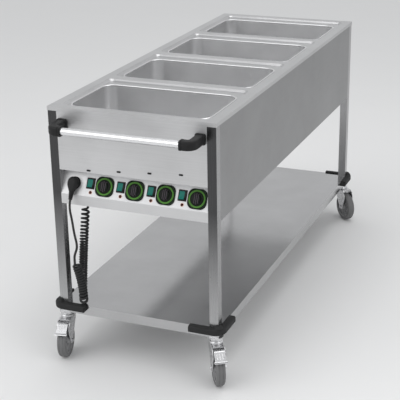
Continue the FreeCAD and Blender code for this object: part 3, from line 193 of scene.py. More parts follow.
def noise(tree, vector, scale, detail=3.0, roughness=0.55):
    """The value of a noise texture."""
    return add(tree, "ShaderNodeTexNoise", links={"Vector": vector},
               values={"Scale": scale, "Detail": detail, "Roughness": roughness}).outputs["Fac"]


def remap(tree, value, low, high, new_low=0.0, new_high=1.0):
    """A value carried from one range to another, and kept inside it."""
    ranges = {"From Min": low, "From Max": high, "To Min": new_low, "To Max": new_high}
    return add(tree, "ShaderNodeMapRange", links={"Value": value}, values=ranges).outputs["Result"]


def brushed_group():
    """Fine lines of brushed sheet, with the broad cloudiness and the wiped marks that it carries."""
    group, given, result = node_group("Brushed sheet", (
        ("Colour", "colour", (0.6, 0.6, 0.6, 1)), ("Lines", "vector", (4, 400, 400)),
        ("Line contrast", "value", 0.06), ("Cloud size", "value", 5.0), ("Cloud contrast", "value", 0.06),
        ("Roughness", "value", 0.3)), (("Colour", "colour"), ("Roughness", "value"), ("Height", "value")))
    place = add(group, "ShaderNodeTexCoord").outputs["Object"]
    stretched = add(group, "ShaderNodeVectorMath", {"operation": "MULTIPLY"},
                    {0: place, 1: given["Lines"]}).outputs["Vector"]
    lines = noise(group, stretched, 1.0, 4.0, 0.65)
    clouds = noise(group, place, 1.0, 3.0, 0.5)
    group.links.new(given["Cloud size"], clouds.node.inputs["Scale"])
    wiped = noise(group, place, 38.0, 4.0, 0.7)
    line_change = add(group, "ShaderNodeMath", {"operation": "MULTIPLY"},
                      {0: remap(group, lines, 0.3, 0.7, -1.0, 1.0), 1: given["Line contrast"]}).outputs[0]
    cloud_change = add(group, "ShaderNodeMath", {"operation": "MULTIPLY"},
                       {0: remap(group, clouds, 0.3, 0.7, -1.0, 1.0), 1: given["Cloud contrast"]}).outputs[0]
    both = add(group, "ShaderNodeMath", {"operation": "ADD"}, {0: line_change, 1: cloud_change}).outputs[0]
    factor = add(group, "ShaderNodeMath", {"operation": "ADD"}, {0: both}, {1: 1.0}).outputs[0]
    tinted = add(group, "ShaderNodeVectorMath", {"operation": "SCALE"},
                 {0: given["Colour"], "Scale": factor}).outputs["Vector"]
    rough = add(group, "ShaderNodeMath", {"operation": "MULTIPLY_ADD"},
                {0: remap(group, lines, 0.25, 0.75, -1.0, 1.0), 2: given["Roughness"]}, {1: 0.05}).outputs[0]
    smeared = add(group, "ShaderNodeMath", {"operation": "MULTIPLY_ADD"},
                  {0: remap(group, wiped, 0.55, 0.8), 2: rough}, {1: 0.06}).outputs[0]
    group.links.new(tinted, result["Colour"])
    group.links.new(smeared, result["Roughness"])
    group.links.new(lines, result["Height"])
    return group


def moulded_group():
    """The fine grain of moulded plastic and rubber, with scuffs scattered by noise."""
    group, given, result = node_group("Moulded surface", (
        ("Colour", "colour", (0.03, 0.03, 0.03, 1)), ("Scuffs", "colour", (0.1, 0.1, 0.1, 1)),
        ("Scuff amount", "value", 0.25), ("Grain size", "value", 1500.0), ("Roughness", "value", 0.45)),
        (("Colour", "colour"), ("Roughness", "value"), ("Height", "value")))
    place = add(group, "ShaderNodeTexCoord").outputs["Object"]
    grain = noise(group, place, 1.0, 2.0, 0.5)
    group.links.new(given["Grain size"], grain.node.inputs["Scale"])
    scuffs = remap(group, noise(group, place, 55.0, 5.0, 0.7), 0.5, 0.78)
    amount = add(group, "ShaderNodeMath", {"operation": "MULTIPLY"},
                 {0: scuffs, 1: given["Scuff amount"]}).outputs[0]
    mixed = add(group, "ShaderNodeMix", {"data_type": "RGBA"},
                {"Factor": amount, "A": given["Colour"], "B": given["Scuffs"]}).outputs["Result"]
    rough = add(group, "ShaderNodeMath", {"operation": "MULTIPLY_ADD"},
                {0: amount, 2: given["Roughness"]}, {1: 0.4}).outputs[0]
    group.links.new(mixed, result["Colour"])
    group.links.new(rough, result["Roughness"])
    group.links.new(grain, result["Height"])
    return group


GROUP_MAKERS = {"Brushed sheet": brushed_group, "Moulded surface": moulded_group}


def placed_group(tree, name, **values):
    """A shader group in a material, with the material's own values on its sockets."""
    if name not in bpy.data.node_groups:
        GROUP_MAKERS[name]()
    node = add(tree, "ShaderNodeGroup", {"node_tree": bpy.data.node_groups[name]})
    for socket, value in values.items():
        node.inputs[socket.replace("_", " ")].default_value = value
    return node


# ---------------------------------------------------------------- materials

def new_material(name, **shader):
    """A material with its Principled shader; plain values go straight on the shader's sockets."""
    material = bpy.data.materials.new(f"trolley_{name}")
    material.use_nodes = True
    tree = material.node_tree
    tree.nodes.clear()
    surface = add(tree, "ShaderNodeBsdfPrincipled", values=shader)
    out = add(tree, "ShaderNodeOutputMaterial")
    tree.links.new(surface.outputs[0], out.inputs["Surface"])
    return material, tree, surface


BRUSH_DEPTH, GRAIN_DEPTH = 0.00008, 0.0001


def finish_with(tree, surface, group, bump, distance):
    """Wire a group's colour, roughness and height into a material's shader."""
    tree.links.new(group.outputs["Colour"], surface.inputs["Base Color"])
    tree.links.new(group.outputs["Roughness"], surface.inputs["Roughness"])
    bumped = add(tree, "ShaderNodeBump", links={"Height": group.outputs["Height"]},
                 values={"Strength": bump, "Distance": distance})
    tree.links.new(bumped.outputs["Normal"], surface.inputs["Normal"])


def brushed(name, tint, lines, roughness=0.3, contrast=0.06, clouds=0.06, bump=0.12):
    """Make a brushed or drawn metal finish; lines is how fine its grain is along each axis."""
    _, tree, surface = new_material(name, Metallic=1.0)
    group = placed_group(tree, "Brushed sheet", Colour=(*tint, 1), Lines=lines, Line_contrast=contrast,
                         Cloud_contrast=clouds, Roughness=roughness)
    finish_with(tree, surface, group, bump, BRUSH_DEPTH)


def moulded(name, tint, scuffs, roughness=0.45, amount=0.25, grain=1500.0, bump=0.2, **shader):
    """Make a plastic, rubber or foil finish."""
    _, tree, surface = new_material(name, **shader)
    group = placed_group(tree, "Moulded surface", Colour=(*tint, 1), Scuffs=(*scuffs, 1),
                         Scuff_amount=amount, Grain_size=grain, Roughness=roughness)
    finish_with(tree, surface, group, bump, GRAIN_DEPTH)


def painted_reflection_tube(name, steel, lines):
    """Make a smooth tube's finish with painted reflection: its forward face is painted dark upward and light
    near the shelf, and its other faces are painted light.
    """
    _, tree, surface = new_material(name, Metallic=1.0)
    light_below, dark_above = 0.20, 0.62
    full_forward, full_side = -0.75, -0.35
    place = add(tree, "ShaderNodeTexCoord").outputs
    height = add(tree, "ShaderNodeSeparateXYZ", links={0: place["Object"]}).outputs["Z"]
    forward = add(tree, "ShaderNodeSeparateXYZ", links={0: place["Normal"]}).outputs["Y"]
    # Painted reflection: the forward face goes from light near the shelf to dark higher up.
    painted_reflection_by_height = add(tree, "ShaderNodeMix", {"data_type": "RGBA"},
                 {"Factor": remap(tree, height, light_below, dark_above)},
                 {"A": (*steel.painted_foot_reflection, 1), "B": (*steel.post, 1)}).outputs["Result"]
    # Painted light: the faces that don't look forward take the lighter flank colour.
    facing = add(tree, "ShaderNodeMix", {"data_type": "RGBA"},
                 {"Factor": remap(tree, forward, full_forward, full_side), "A": painted_reflection_by_height},
                 {"B": (*steel.flank, 1)}).outputs["Result"]
    group = placed_group(tree, "Brushed sheet", Lines=lines, Line_contrast=0.08, Cloud_contrast=0.05,
                         Roughness=0.26)
    tree.links.new(facing, group.inputs["Colour"])
    finish_with(tree, surface, group, 0.12, BRUSH_DEPTH)


# Less shine than plain plastic has, for the dark and the coloured mouldings.
DULL = {"Specular IOR Level": 0.2}


def make_materials():
    """Make every finish of the trolley."""
    steel, cord, _ = settings()
    along_x, along_y, along_z = (5, 700, 700), (700, 5, 700), (700, 700, 5)
    brushed("front_steel", steel.panel, along_x, 0.44)
    # The long sides get a darker copy of the panels' steel as painted shade.
    brushed("painted_shade_side_steel", steel.side, along_y, 0.36, 0.03)
    brushed("top_steel", steel.top, along_y, 0.32)
    brushed("lip_steel", (0.74, 0.74, 0.745), along_x, 0.2, 0.02, 0.02, 0.03)
    brushed("well_steel", steel.well, (9, 9, 9), 0.36, 0.02, 0.05, 0.01)
    # The front tubes' steel carries painted reflection and light.
    painted_reflection_tube("post_steel", steel, along_z)
    brushed("rear_post_steel", steel.rear_post, along_z, 0.3, 0.06, 0.05)
    brushed("shelf_steel", steel.shelf, along_x, 0.15, 0.03, 0.05, 0.05)
    brushed("console_steel", steel.console, along_x, 0.55, 0.04, 0.04)
    brushed("polished_steel", (0.80, 0.80, 0.81), (4, 900, 900), 0.28, 0.02, 0.02, 0.03)
    brushed("zinc", steel.zinc, (120, 120, 120), 0.27, 0.04, 0.08, 0.06)
    brushed("hidden_aluminium", (0.6, 0.6, 0.6), along_x, 0.4)
    moulded("black_plastic", (0.014, 0.014, 0.0145), (0.045, 0.045, 0.045), 0.5, **DULL)
    moulded("black_rubber", (0.024, 0.024, 0.0245), (0.055, 0.055, 0.055), 0.65, 0.35, 900.0, 0.3, **DULL)
    moulded("cord_sheath", cord.sheath, (0.04, 0.04, 0.04), 0.45, 0.2, **DULL)
    moulded("tread_rubber", (0.15, 0.15, 0.152), (0.26, 0.26, 0.26), 0.55, 0.4, 700.0)
    moulded("white_foil", (0.74, 0.74, 0.75), (0.66, 0.66, 0.66), 0.38, 0.12, 2500.0, 0.05)
    moulded("green_lens", (0.010, 0.17, 0.135), (0.03, 0.22, 0.18), 0.42, 0.2, 2000.0, 0.05, **DULL)
    moulded("red_lens", (0.045, 0.006, 0.004), (0.06, 0.01, 0.006), 0.4, 0.2, 2000.0, 0.03, **DULL)
    moulded("dark_green", (0.004, 0.012, 0.004), (0.012, 0.024, 0.012), 0.5, **DULL)
    moulded("bright_green", (0.07, 0.21, 0.03), (0.10, 0.26, 0.06), 0.5, **DULL)
    moulded("knob_plastic", (0.003, 0.006, 0.003), (0.01, 0.014, 0.01), 0.5, **DULL)
    moulded("knob_ribs", (0.065, 0.052, 0.065), (0.09, 0.08, 0.09), 0.5, **DULL)
    brushed("lamp_bezel", (0.72, 0.50, 0.42), (200, 200, 200), 0.3)
    moulded("wheel_core", (0.26, 0.26, 0.265), (0.36, 0.36, 0.36), 0.45, 0.3)
    moulded("dark_plastic", (0.05, 0.05, 0.05), (0.08, 0.08, 0.08), 0.5)


def material(name):
    """A finish by its name; its material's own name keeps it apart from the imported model's."""
    if f"trolley_{name}" not in bpy.data.materials:
        make_materials()
    return bpy.data.materials[f"trolley_{name}"]


def dress(node, name):
    """Give a CAD node its finish."""
    thing = NODES[node]
    if not thing.material_slots:
        thing.data.materials.append(material(name))
    for place in thing.material_slots:
        place.material = material(name)


# ---------------------------------------------------------------- shapes

def piece(name, shape, finish, body, smooth=35.0):
    """A mesh piece in the frame, with its finish and its body; shape is points and faces."""
    points, faces = shape
    mesh = bpy.data.meshes.new(name)
    mesh.from_pydata([tuple(point) for point in points], [], faces)
    mesh.validate()
    made = bpy.data.objects.new(name, mesh)
    bpy.context.scene.collection.objects.link(made)
    mesh.materials.append(material(finish))
    tidy = bmesh.new()
    tidy.from_mesh(mesh)
    bmesh.ops.remove_doubles(tidy, verts=tidy.verts, dist=1e-6)
    bmesh.ops.recalc_face_normals(tidy, faces=tidy.faces)
    tidy.to_mesh(mesh)
    tidy.free()
    mesh.shade_smooth()
    mesh.set_sharp_from_angle(angle=math.radians(smooth))
    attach(made, body)
    return made


def skin(rings, caps=True):
    """A surface through closed rings of the same number of points."""
    count = len(rings[0])
    points = [point for ring in rings for point in ring]
    faces = []
    for row in range(len(rings) - 1):
        for step in range(count):
            low, high, following = row * count, (row + 1) * count, (step + 1) % count
            faces.append((low + step, low + following, high + following, high + step))
    if caps:
        faces.append(tuple(reversed(range(count))))
        faces.append(tuple(range((len(rings) - 1) * count, len(rings) * count)))
    return points, faces


def joined(shapes):
    """Several shapes as one."""
    points, faces = [], []
    for more_points, more_faces in shapes:
        start = len(points)
        points += list(more_points)
        faces += [tuple(start + corner for corner in face) for face in more_faces]
    return points, faces


def turned(profile, centre, axis, side, sides=48, hoop=False, flutes=0, flute_depth=0.0):
    """A lathe shape from (radius, height) points; a hoop's profile closes on itself.

    A profile point may have a third value, the share of the flutes that it takes."""
    around = axis.cross(side)
    rings = []
    for radius, height, *fluted in profile:
        ring = []
        for step in range(sides):
            angle = math.tau * step / sides
            wave = fluted[0] * flute_depth * (math.cos(flutes * angle) - 1) / 2 if fluted else 0.0
            reach = max(radius + wave, 1e-5)
            outward = side * math.cos(angle) + around * math.sin(angle)
            ring.append(centre + axis * height + outward * reach)
        rings.append(ring)
    if hoop:
        rings.append(rings[0])
    return skin(rings, caps=not hoop)


def rounded_outline(width, height, radius, steps=6):
    """Corner points of a rectangle with round corners, about its middle."""
    corners = ((1, 1, 0), (-1, 1, 1), (-1, -1, 2), (1, -1, 3))
    return [(across * (width / 2 - radius) + radius * math.cos((quarter + step / steps) * math.pi / 2),
             up * (height / 2 - radius) + radius * math.sin((quarter + step / steps) * math.pi / 2))
            for across, up, quarter in corners for step in range(steps + 1)]


def layered(layers, place, steps=6, caps=True):
    """A plate from (width, height, corner radius, level) layers.

    place turns (x, y, level) to a point."""
    rings = [[place(across, up, level) for across, up in rounded_outline(width, height, radius, steps)]
             for width, height, radius, level in layers]
    return skin(rings, caps)


def bar(outline, low, high, place, chamfer=0.0004):
    """An outline carried from low to high with its end edges eased; place turns (x, a, b) to a point."""
    middle = [sum(values) / len(outline) for values in zip(*outline)]
    reach = max(max(abs(a - middle[0]), abs(b - middle[1])) for a, b in outline)
    rings = []
    for along, inset in ((low, chamfer), (low + chamfer, 0.0), (high - chamfer, 0.0), (high, chamfer)):
        scale = 1 - inset / reach
        rings.append([place(along, middle[0] + (a - middle[0]) * scale, middle[1] + (b - middle[1]) * scale)
                      for a, b in outline])
    return skin(rings)


def arc(centre, radius, start, stop, steps):
    """Points of an arc in a plane, angles in degrees."""
    return [(centre[0] + radius * math.cos(math.radians(start + (stop - start) * step / steps)),
             centre[1] + radius * math.sin(math.radians(start + (stop - start) * step / steps)))
            for step in range(steps + 1)]


def eased(node, width, segments=2, angle=40):
    """Round the sharp edges of a CAD node in the render, without changing its mesh."""
    edge = NODES[node].modifiers.new("eased_edges", "BEVEL")
    edge.width = width
    edge.segments = segments
    edge.limit_method = "ANGLE"
    edge.angle_limit = math.radians(angle)
    edge.harden_normals = True


# ---------------------------------------------------------------- controls

def console_point(across, up, out):
    """A point on the leaning face: across the trolley, up the face from its fold, and out of it."""
    controls = bpy.context.scene.trolley_controls
    lean = controls.tilt
    return Vector((across, FRONT + up * math.sin(lean) - out * math.cos(lean),
                   controls.fold + up * math.cos(lean) + out * math.sin(lean)))


def console_axes():
    """The leaning face's directions: across, up and out."""
    start = console_point(0, 0, 0)
    return console_point(1, 0, 0) - start, console_point(0, 1, 0) - start, console_point(0, 0, 1) - start


def group_middle(index):
    """The middle of a group of controls, across the trolley."""
    return (index - 2.5) * bpy.context.scene.trolley_controls.pitch


def build_dials():
    """The thermostats' plates, each with its scale ring and marks."""
    controls = bpy.context.scene.trolley_controls
    across, up, out = console_axes()
    top = FOIL + 0.004
    for index in GROUPS:
        x, y = group_middle(index) + controls.knob_shift, controls.knob_up
        centre = console_point(x, y, 0)

        def place(a, b, level):
            return console_point(x + a, y + b, level)

        side, corner = controls.dial_side, 0.022
        plate = layered(((side, side, corner, FOIL), (side, side, corner, top - 0.0016),
                         (side - 0.0008, side - 0.0008, corner, top - 0.0006),
                         (side - 0.003, side - 0.003, corner - 0.001, top),
                         (side - 0.0065, side - 0.0065, corner - 0.002, top),
                         (side - 0.0075, side - 0.0075, corner - 0.0025, top - 0.0006)), place, 10)
        made = piece(f"dial_plate_{index}", plate, "dark_green", "trolley")
        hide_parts("thermostat_dials")
        ring = controls.ring_radius
        hoop = turned(((ring, top - 0.001), (ring, top + 0.0012), (ring - 0.0006, top + 0.0019),
                       (ring - 0.0050, top + 0.0019), (ring - 0.0057, top + 0.0012),
                       (ring - 0.0057, top - 0.001)), centre, out, across, 72, hoop=True)
        piece(f"dial_ring_{index}", hoop, "bright_green", "trolley")
        marks, count, first, sweep, wide = [], 28, -45, 270, 0.00035
        for step in range(count):
            angle = math.radians(first + sweep * step / (count - 1))
            ray = across * math.cos(angle) + up * math.sin(angle)
            beside = out.cross(ray)
            long = 0.0032 if step % 3 == 0 else 0.0018

            def spot(a, b, level):
                return centre + ray * (ring - 0.0024 + b) + beside * a + out * level

            mark = ((2 * wide, long, wide, top + 0.0017), (2 * wide, long, wide, top + 0.00196))
            marks.append(layered(mark, spot, 2))
        piece(f"dial_marks_{index}", joined(marks), "dark_green", "trolley")


def build_knobs():
    """The thermostats' knobs: a skirt, a fluted grip with its shaft, and three ribs across."""
    controls = bpy.context.scene.trolley_controls
    across, up, out = console_axes()
    base = FOIL + 0.0044
    top = base + 0.008
    grip = controls.grip_radius
    for index in GROUPS:
        x, y = group_middle(index) + controls.knob_shift, controls.knob_up
        centre = console_point(x, y, 0)
        radius = controls.knob_radius
        body = turned(((0.003, -0.0176), (0.003, base), (radius - 0.0002, base), (radius, base + 0.0004),
                       (radius - 0.0004, base + 0.0014), (radius - 0.0014, base + 0.002),
                       (grip + 0.0024, base + 0.002, 0), (grip + 0.0012, base + 0.0023, 0.4),
                       (grip + 0.0006, base + 0.003, 1), (grip - 0.0004, top - 0.0012, 1),
                       (grip - 0.0012, top - 0.0003, 0.4), (grip - 0.0022, top, 0), (0, top - 0.0002)),
                      centre, out, across, 96, flutes=24, flute_depth=0.0011)
        made = piece(f"knob_{index}_turned", body, "knob_plastic", f"knob_{index}", 50)
        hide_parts(f"knob_{index}")
        ribs, rib_pitch = [], 0.0066
        for shift in (-1, 0, 1):
            long = 2 * grip + 0.006 - 0.006 * abs(shift)

            def place(a, b, level):
                return console_point(x + shift * rib_pitch + a, y + b, level)

            rib = ((0.003, long, 0.0014, base + 0.0021), (0.003, long, 0.0014, top - 0.0007),
                   (0.0026, long - 0.0004, 0.0012, top), (0.0016, long - 0.0014, 0.0007, top + 0.0005))
            ribs.append(layered(rib, place, 4))
        piece(f"knob_{index}_ribs", joined(ribs), "knob_ribs", f"knob_{index}", 50)


def build_rockers():
    """The switches: a collar in the foil, and a rocker with its lens and a black end that is painted shade."""
    controls = bpy.context.scene.trolley_controls
    rest = math.radians(8)
    wide, tall = controls.switch_wide, controls.switch_tall
    rim_wide, rim_tall = 0.00325, 0.0045
    for index in GROUPS:
        x, y = group_middle(index) + controls.switch_shift, controls.switch_up

        def place(a, b, level):
            return console_point(x + a, y + b, level)

        outside, low = (wide + 2 * rim_wide, tall + 2 * rim_tall), FOIL
        collar = layered(((*outside, 0.002, low), (*outside, 0.002, low + 0.0015),
                          (outside[0] - 0.0012, outside[1] - 0.0012, 0.0016, low + 0.0024),
                          (outside[0] - 0.002, outside[1] - 0.002, 0.0014, low + 0.0025),
                          (wide + 0.0012, tall + 0.0012, 0.0008, low + 0.0025),
                          (wide, tall, 0.0004, low + 0.0018), (wide, tall, 0.0004, low - 0.012),
                          (wide + 0.0016, tall + 0.0016, 0.0004, low - 0.012),
                          (wide + 0.0016, tall + 0.0016, 0.0004, low)), place, 5, caps=False)
        made = piece(f"switch_frame_{index}", collar, "black_plastic", "trolley")
        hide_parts("rocker_frames")
        pivot = FOIL - 0.0015
        half = tall / 2 - 0.001
        steps, dip, bulge = 14, 0.0036, 0.0019
        crown = [(half - 2 * half * step / steps, dip + bulge * (1 - 2 * step / steps) ** 2)
                 for step in range(steps + 1)]
        outline = [(-half, -0.002), (half, -0.002), (half, 0.0049), (half - 0.0004, 0.0054)] + crown[1:-1]
        outline += [(-half + 0.0004, 0.0054), (-half, 0.0049)]

        def tipped(a, b, level):
            return place(a, b * math.cos(rest) + level * math.sin(rest),
                         pivot + level * math.cos(rest) - b * math.sin(rest))

        # The rocker's far end is black plastic that stands in for shade: painted shade.
        split = wide / 2 - 0.0056
        lens = bar(outline, -wide / 2 + 0.0005, split, tipped, 0.0005)
        made = piece(f"switch_lens_{index}", lens, "green_lens", f"rocker_{index}", 50)
        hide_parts(f"rocker_{index}")
        painted_shade_end = bar(outline, split, wide / 2 - 0.0005, tipped, 0.0005)
        piece(f"switch_painted_shade_{index}", painted_shade_end, "black_plastic", f"rocker_{index}", 50)


def build_lamps():
    """The indicator lamps: a plated bezel with a domed lens."""
    controls = bpy.context.scene.trolley_controls
    across, _, out = console_axes()
    for index in GROUPS:
        centre = console_point(group_middle(index) + controls.lamp_shift, controls.lamp_up, 0)
        bezel = turned(((0.0064, FOIL), (0.0064, FOIL + 0.0008), (0.0061, FOIL + 0.0013),
                        (0.0055, FOIL + 0.0013), (0.0052, FOIL + 0.0007), (0.0052, FOIL)),
                       centre, out, across, 32, hoop=True)
        piece(f"lamp_bezel_{index}", bezel, "lamp_bezel", "trolley")
        lens = turned(((0.0052, FOIL - 0.002), (0.0052, FOIL + 0.0012), (0.0046, FOIL + 0.0021),
                       (0.0030, FOIL + 0.0027), (0.0015, FOIL + 0.003), (0, FOIL + 0.003)),
                      centre, out, across, 32)
        made = piece(f"lamp_lens_{index}", lens, "red_lens", "trolley", 60)
        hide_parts("indicator_lamps")


# ---------------------------------------------------------------- handle

def build_handle():
    """The bar and its two moulded elbows, each swept from the bar's end to the front panel."""
    handle = bpy.context.scene.trolley_handle
    axis_y, axis_z = FRONT - handle.standoff, handle.height
    half = handle.half
    radius = handle.tube
    tube_shape = turned(((radius - 0.0015, -half - 0.012), (radius, -half - 0.012), (radius, half + 0.012),
                         (radius - 0.0015, half + 0.012)), Vector((0, axis_y, axis_z)), X, Z, 64, hoop=True)
    made = piece("handle_bar", tube_shape, "polished_steel", "trolley")
    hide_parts("handle_tube")
    leg_x, bend, thick = handle.leg, handle.bend, handle.elbow
    for side, word in ((-1, "left"), (1, "right")):
        path = [Vector((side * half, axis_y, axis_z)), Vector((side * (half + 0.0005), axis_y, axis_z))]
        sizes = [thick - 0.0012, thick - 0.0003]
        path += [Vector((side * (half + reach), axis_y, axis_z))
                 for reach in (0.0014, 0.0070, 0.0078, 0.0088)]
        sizes += [thick, thick, thick - 0.0016, thick - 0.0016]
        path.append(Vector((side * (half + 0.0094), axis_y, axis_z)))
        sizes.append(thick - 0.0006)
        for across, along in arc((leg_x - bend, axis_y + bend), bend, -80, 0, 10):
            path.append(Vector((side * across, along, axis_z)))
            sizes.append(thick - 0.0006)
        for along, size in ((-0.0095, thick - 0.0006), (-0.0072, thick - 0.0004), (-0.0068, thick + 0.0016),
                            (-0.0060, thick + 0.0028), (-0.0010, thick + 0.0029), (0.0, thick + 0.0024)):
            path.append(Vector((side * leg_x, FRONT + along, axis_z)))
            sizes.append(size)
        made = piece(f"handle_corner_{word}", squared_tube(path, sizes), "black_plastic", "trolley",
                     28)
        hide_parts(f"handle_elbow_{word}")


def squared_tube(path, sizes, power=5.0, sides=48, fill=0.93):
    """A tube of squared section along a level path; fill is the share of its size at which its flats lie."""
    rings = []
    for place, point in enumerate(path):
        before, after = path[max(0, place - 1)], path[min(len(path) - 1, place + 1)]
        heading = (after - before).normalized()
        beside = heading.cross(Z).normalized()
        ring = []
        for step in range(sides):
            angle = math.tau * (step + 0.5) / sides
            flat, rise = math.cos(angle), math.sin(angle)
            reach = (abs(flat) ** power + abs(rise) ** power) ** (-1 / power)
            ring.append(point + (beside * flat + Z * rise) * reach * sizes[place] * fill)
        rings.append(ring)
    return skin(rings)


# ---------------------------------------------------------------- plug and gland

def build_plug():
    """The angled mains plug: a base in the socket, a hood that narrows downward, and a ribbed boot."""
    cord = bpy.context.scene.trolley_cord
    across, up, out = console_axes()
    x, y, depth = cord.plug_x, cord.plug_up, cord.plug_out
    centre = console_point(x, y, 0)
    base = turned(((0.016, -0.009), (0.016, 0.003), (0.0193, 0.003), (0.02, 0.0038), (0.02, 0.0085),
                   (0.0193, 0.0093), (0.017, 0.0093)), centre, out, across, 48)
    collar = piece("plug_base", base, "black_plastic", "trolley")
    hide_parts("mains_plug")
    radius = 0.0195
    profile = []
    for step in range(9):
        angle = math.pi / 2 * step / 8
        profile.append((radius * math.sin(angle), 0.002 + 0.0098 * math.sin(angle) ** 0.8,
                        radius * math.cos(angle)))
    profile[0] = (0.0006, 0.0006, radius)
    profile += [(radius, 0.0118, -0.006), (0.0187, 0.0116, -0.012), (0.0158, 0.0108, -0.019),
                (0.0122, 0.0098, -0.026), (0.0098, 0.0090, -0.031), (0.0088, 0.0086, -0.034)]
    for step in range(7):
        along, thick = -0.0352 - 0.0036 * step, 0.0086 - 0.00033 * step
        groove = thick - 0.0012
        profile += [(groove, groove, along), (groove, groove, along - 0.0011),
                    (thick, thick, along - 0.0014), (thick, thick, along - 0.0034)]
    profile += [(0.0056, 0.0056, -0.0609), (0.0050, 0.0050, -0.061)]
    rings, sides, power = [], 40, 2.6
    for wide, deep, along in profile:
        ring = []
        for step in range(sides):
            angle = math.tau * step / sides
            flat, rise = math.cos(angle), math.sin(angle)
            reach = (abs(flat) ** power + abs(rise) ** power) ** (-1 / power)
            ring.append(centre + across * wide * flat * reach + up * along
                        + out * (depth + deep * rise * reach))
        rings.append(ring)
    hood = piece("plug_hood", skin(rings), "black_plastic", "trolley", 40)
    return [collar, hood]


def build_gland(path):
    """The ribbed sleeve that the cord leaves the housing in; path runs from the gland outward."""
    sleeve_length, widest, narrowing, rib_step, rib_deep = 0.026, 0.0082, 0.0028, 0.0018, 0.0007
    gone, line, radii = 0.0, [path[0]], [widest]
    for start, stop in zip(path, path[1:]):
        gone += (stop - start).length
        if gone > sleeve_length:
            break
        share = gone / sleeve_length
        rib = rib_deep if int(gone / rib_step) % 2 else 0.0
        line.append(stop)
        radii.append(widest - narrowing * share - rib)
    piece("gland_sleeve", tube(line, radii, 24), "black_rubber", "trolley", 60)


# ---------------------------------------------------------------- castors

def castor_axes(name, side, end):
    """A castor's swivel centre on the floor, its heading and its axle's direction."""
    heading = math.radians(CASTOR_HEADINGS[name])
    place = Vector((side * POST_X, end * POST_Y + MIDDLE_Y, 0))
    ahead = Vector((math.cos(heading), math.sin(heading), 0))
    return place, ahead, Z.cross(ahead)


def build_castors():
    """Each castor's tyre, rim, spokes, axle and fork, and the brake pedals of the front two."""
    castor = bpy.context.scene.trolley_castor
    radius, half = castor.wheel_radius, castor.tread / 2
    for name, side, end in CORNERS:
        place, ahead, axle = castor_axes(name, side, end)
        centre = place + ahead * castor.trail + Z * radius
        bend = 0.0085
        shoulder = [(radius - bend + bend * math.cos(angle), half - bend + bend * math.sin(angle))
                    for angle in (math.pi / 2 * step / 6 for step in range(7))]
        groove = [(radius, 0.0072), (radius - 0.0012, 0.0066), (radius - 0.0012, 0.0054), (radius, 0.0048)]
        edge = list(reversed(shoulder)) + groove
        core = radius - 0.0138
        inner = [(core, half - 0.0012), (core + 0.0008, half)]
        profile = inner + edge
        both_sides = tuple(profile) + tuple((r, -a) for r, a in reversed(profile))
        tyre = turned(both_sides, centre, axle, Z, 96, hoop=True)
        made = piece(f"tyre_{name}", tyre, "tread_rubber", f"wheel_{name}", 40)
        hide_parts(f"castor_wheel_{name}")
        web = ((core, 0.0138), (core - 0.0026, 0.0138), (core - 0.0044, 0.0128), (core - 0.0060, 0.0075),
               (0.0215, 0.0068), (0.0185, 0.0078), (0.0165, 0.0120), (0.0140, 0.0184), (0.0132, 0.019),
               (0.0062, 0.019))
        rim = turned(web + tuple((r, -a) for r, a in reversed(web)), centre, axle, Z, 64, hoop=True)
        piece(f"rim_{name}", rim, "wheel_core", f"wheel_{name}", 40)
        spokes, count, middle = [], 8, 0.0305
        for step in range(count):
            angle = math.tau * step / count
            ray = Z * math.cos(angle) + ahead * math.sin(angle)
            beside = ray.cross(axle)

            def spot(a, b, level):
                return centre + ray * (middle + b) + beside * a + axle * level

            spoke = ((0.0024, 0.026, 0.0008, -0.0122), (0.0034, 0.026, 0.0012, -0.0116),
                     (0.0034, 0.026, 0.0012, 0.0116), (0.0024, 0.026, 0.0008, 0.0122))
            spokes.append(layered(spoke, spot, 3))
        piece(f"spokes_{name}", joined(spokes), "wheel_core", f"wheel_{name}", 40)
        start = castor.fork_gap / 2 + FORK_PLATE
        nuts = []
        for way in (-1, 1):
            nut = [(0.0084, start), (0.0085, start + 0.0004), (0.0085, start + 0.0010),
                   (0.0064, start + 0.0010)]
            nuts.append(turned(nut, centre, axle * way, Z, 32))
            hexagon = [(0.0072, start + 0.0010), (0.0072, start + 0.0046), (0.0062, start + 0.0056),
                       (0.0034, start + 0.0056)]
            nuts.append(turned(hexagon, centre, axle * way, Z, 6))
            bolt_end = ((0.0034, start + 0.0050), (0.0034, start + 0.0058), (0.0026, start + 0.006))
            nuts.append(turned(bolt_end, centre, axle * way, Z, 20))
        nuts.append(turned(((0.005, -start - 0.001), (0.005, start + 0.001)), centre, axle, Z, 24))
        made = piece(f"axle_bolt_{name}", joined(nuts), "zinc", f"castor_{name}", 28)
        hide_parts(f"castor_axle_{name}")
        build_fork(name, place, ahead, axle)
        if end < 0:
            build_pedal(name, place, ahead, axle)


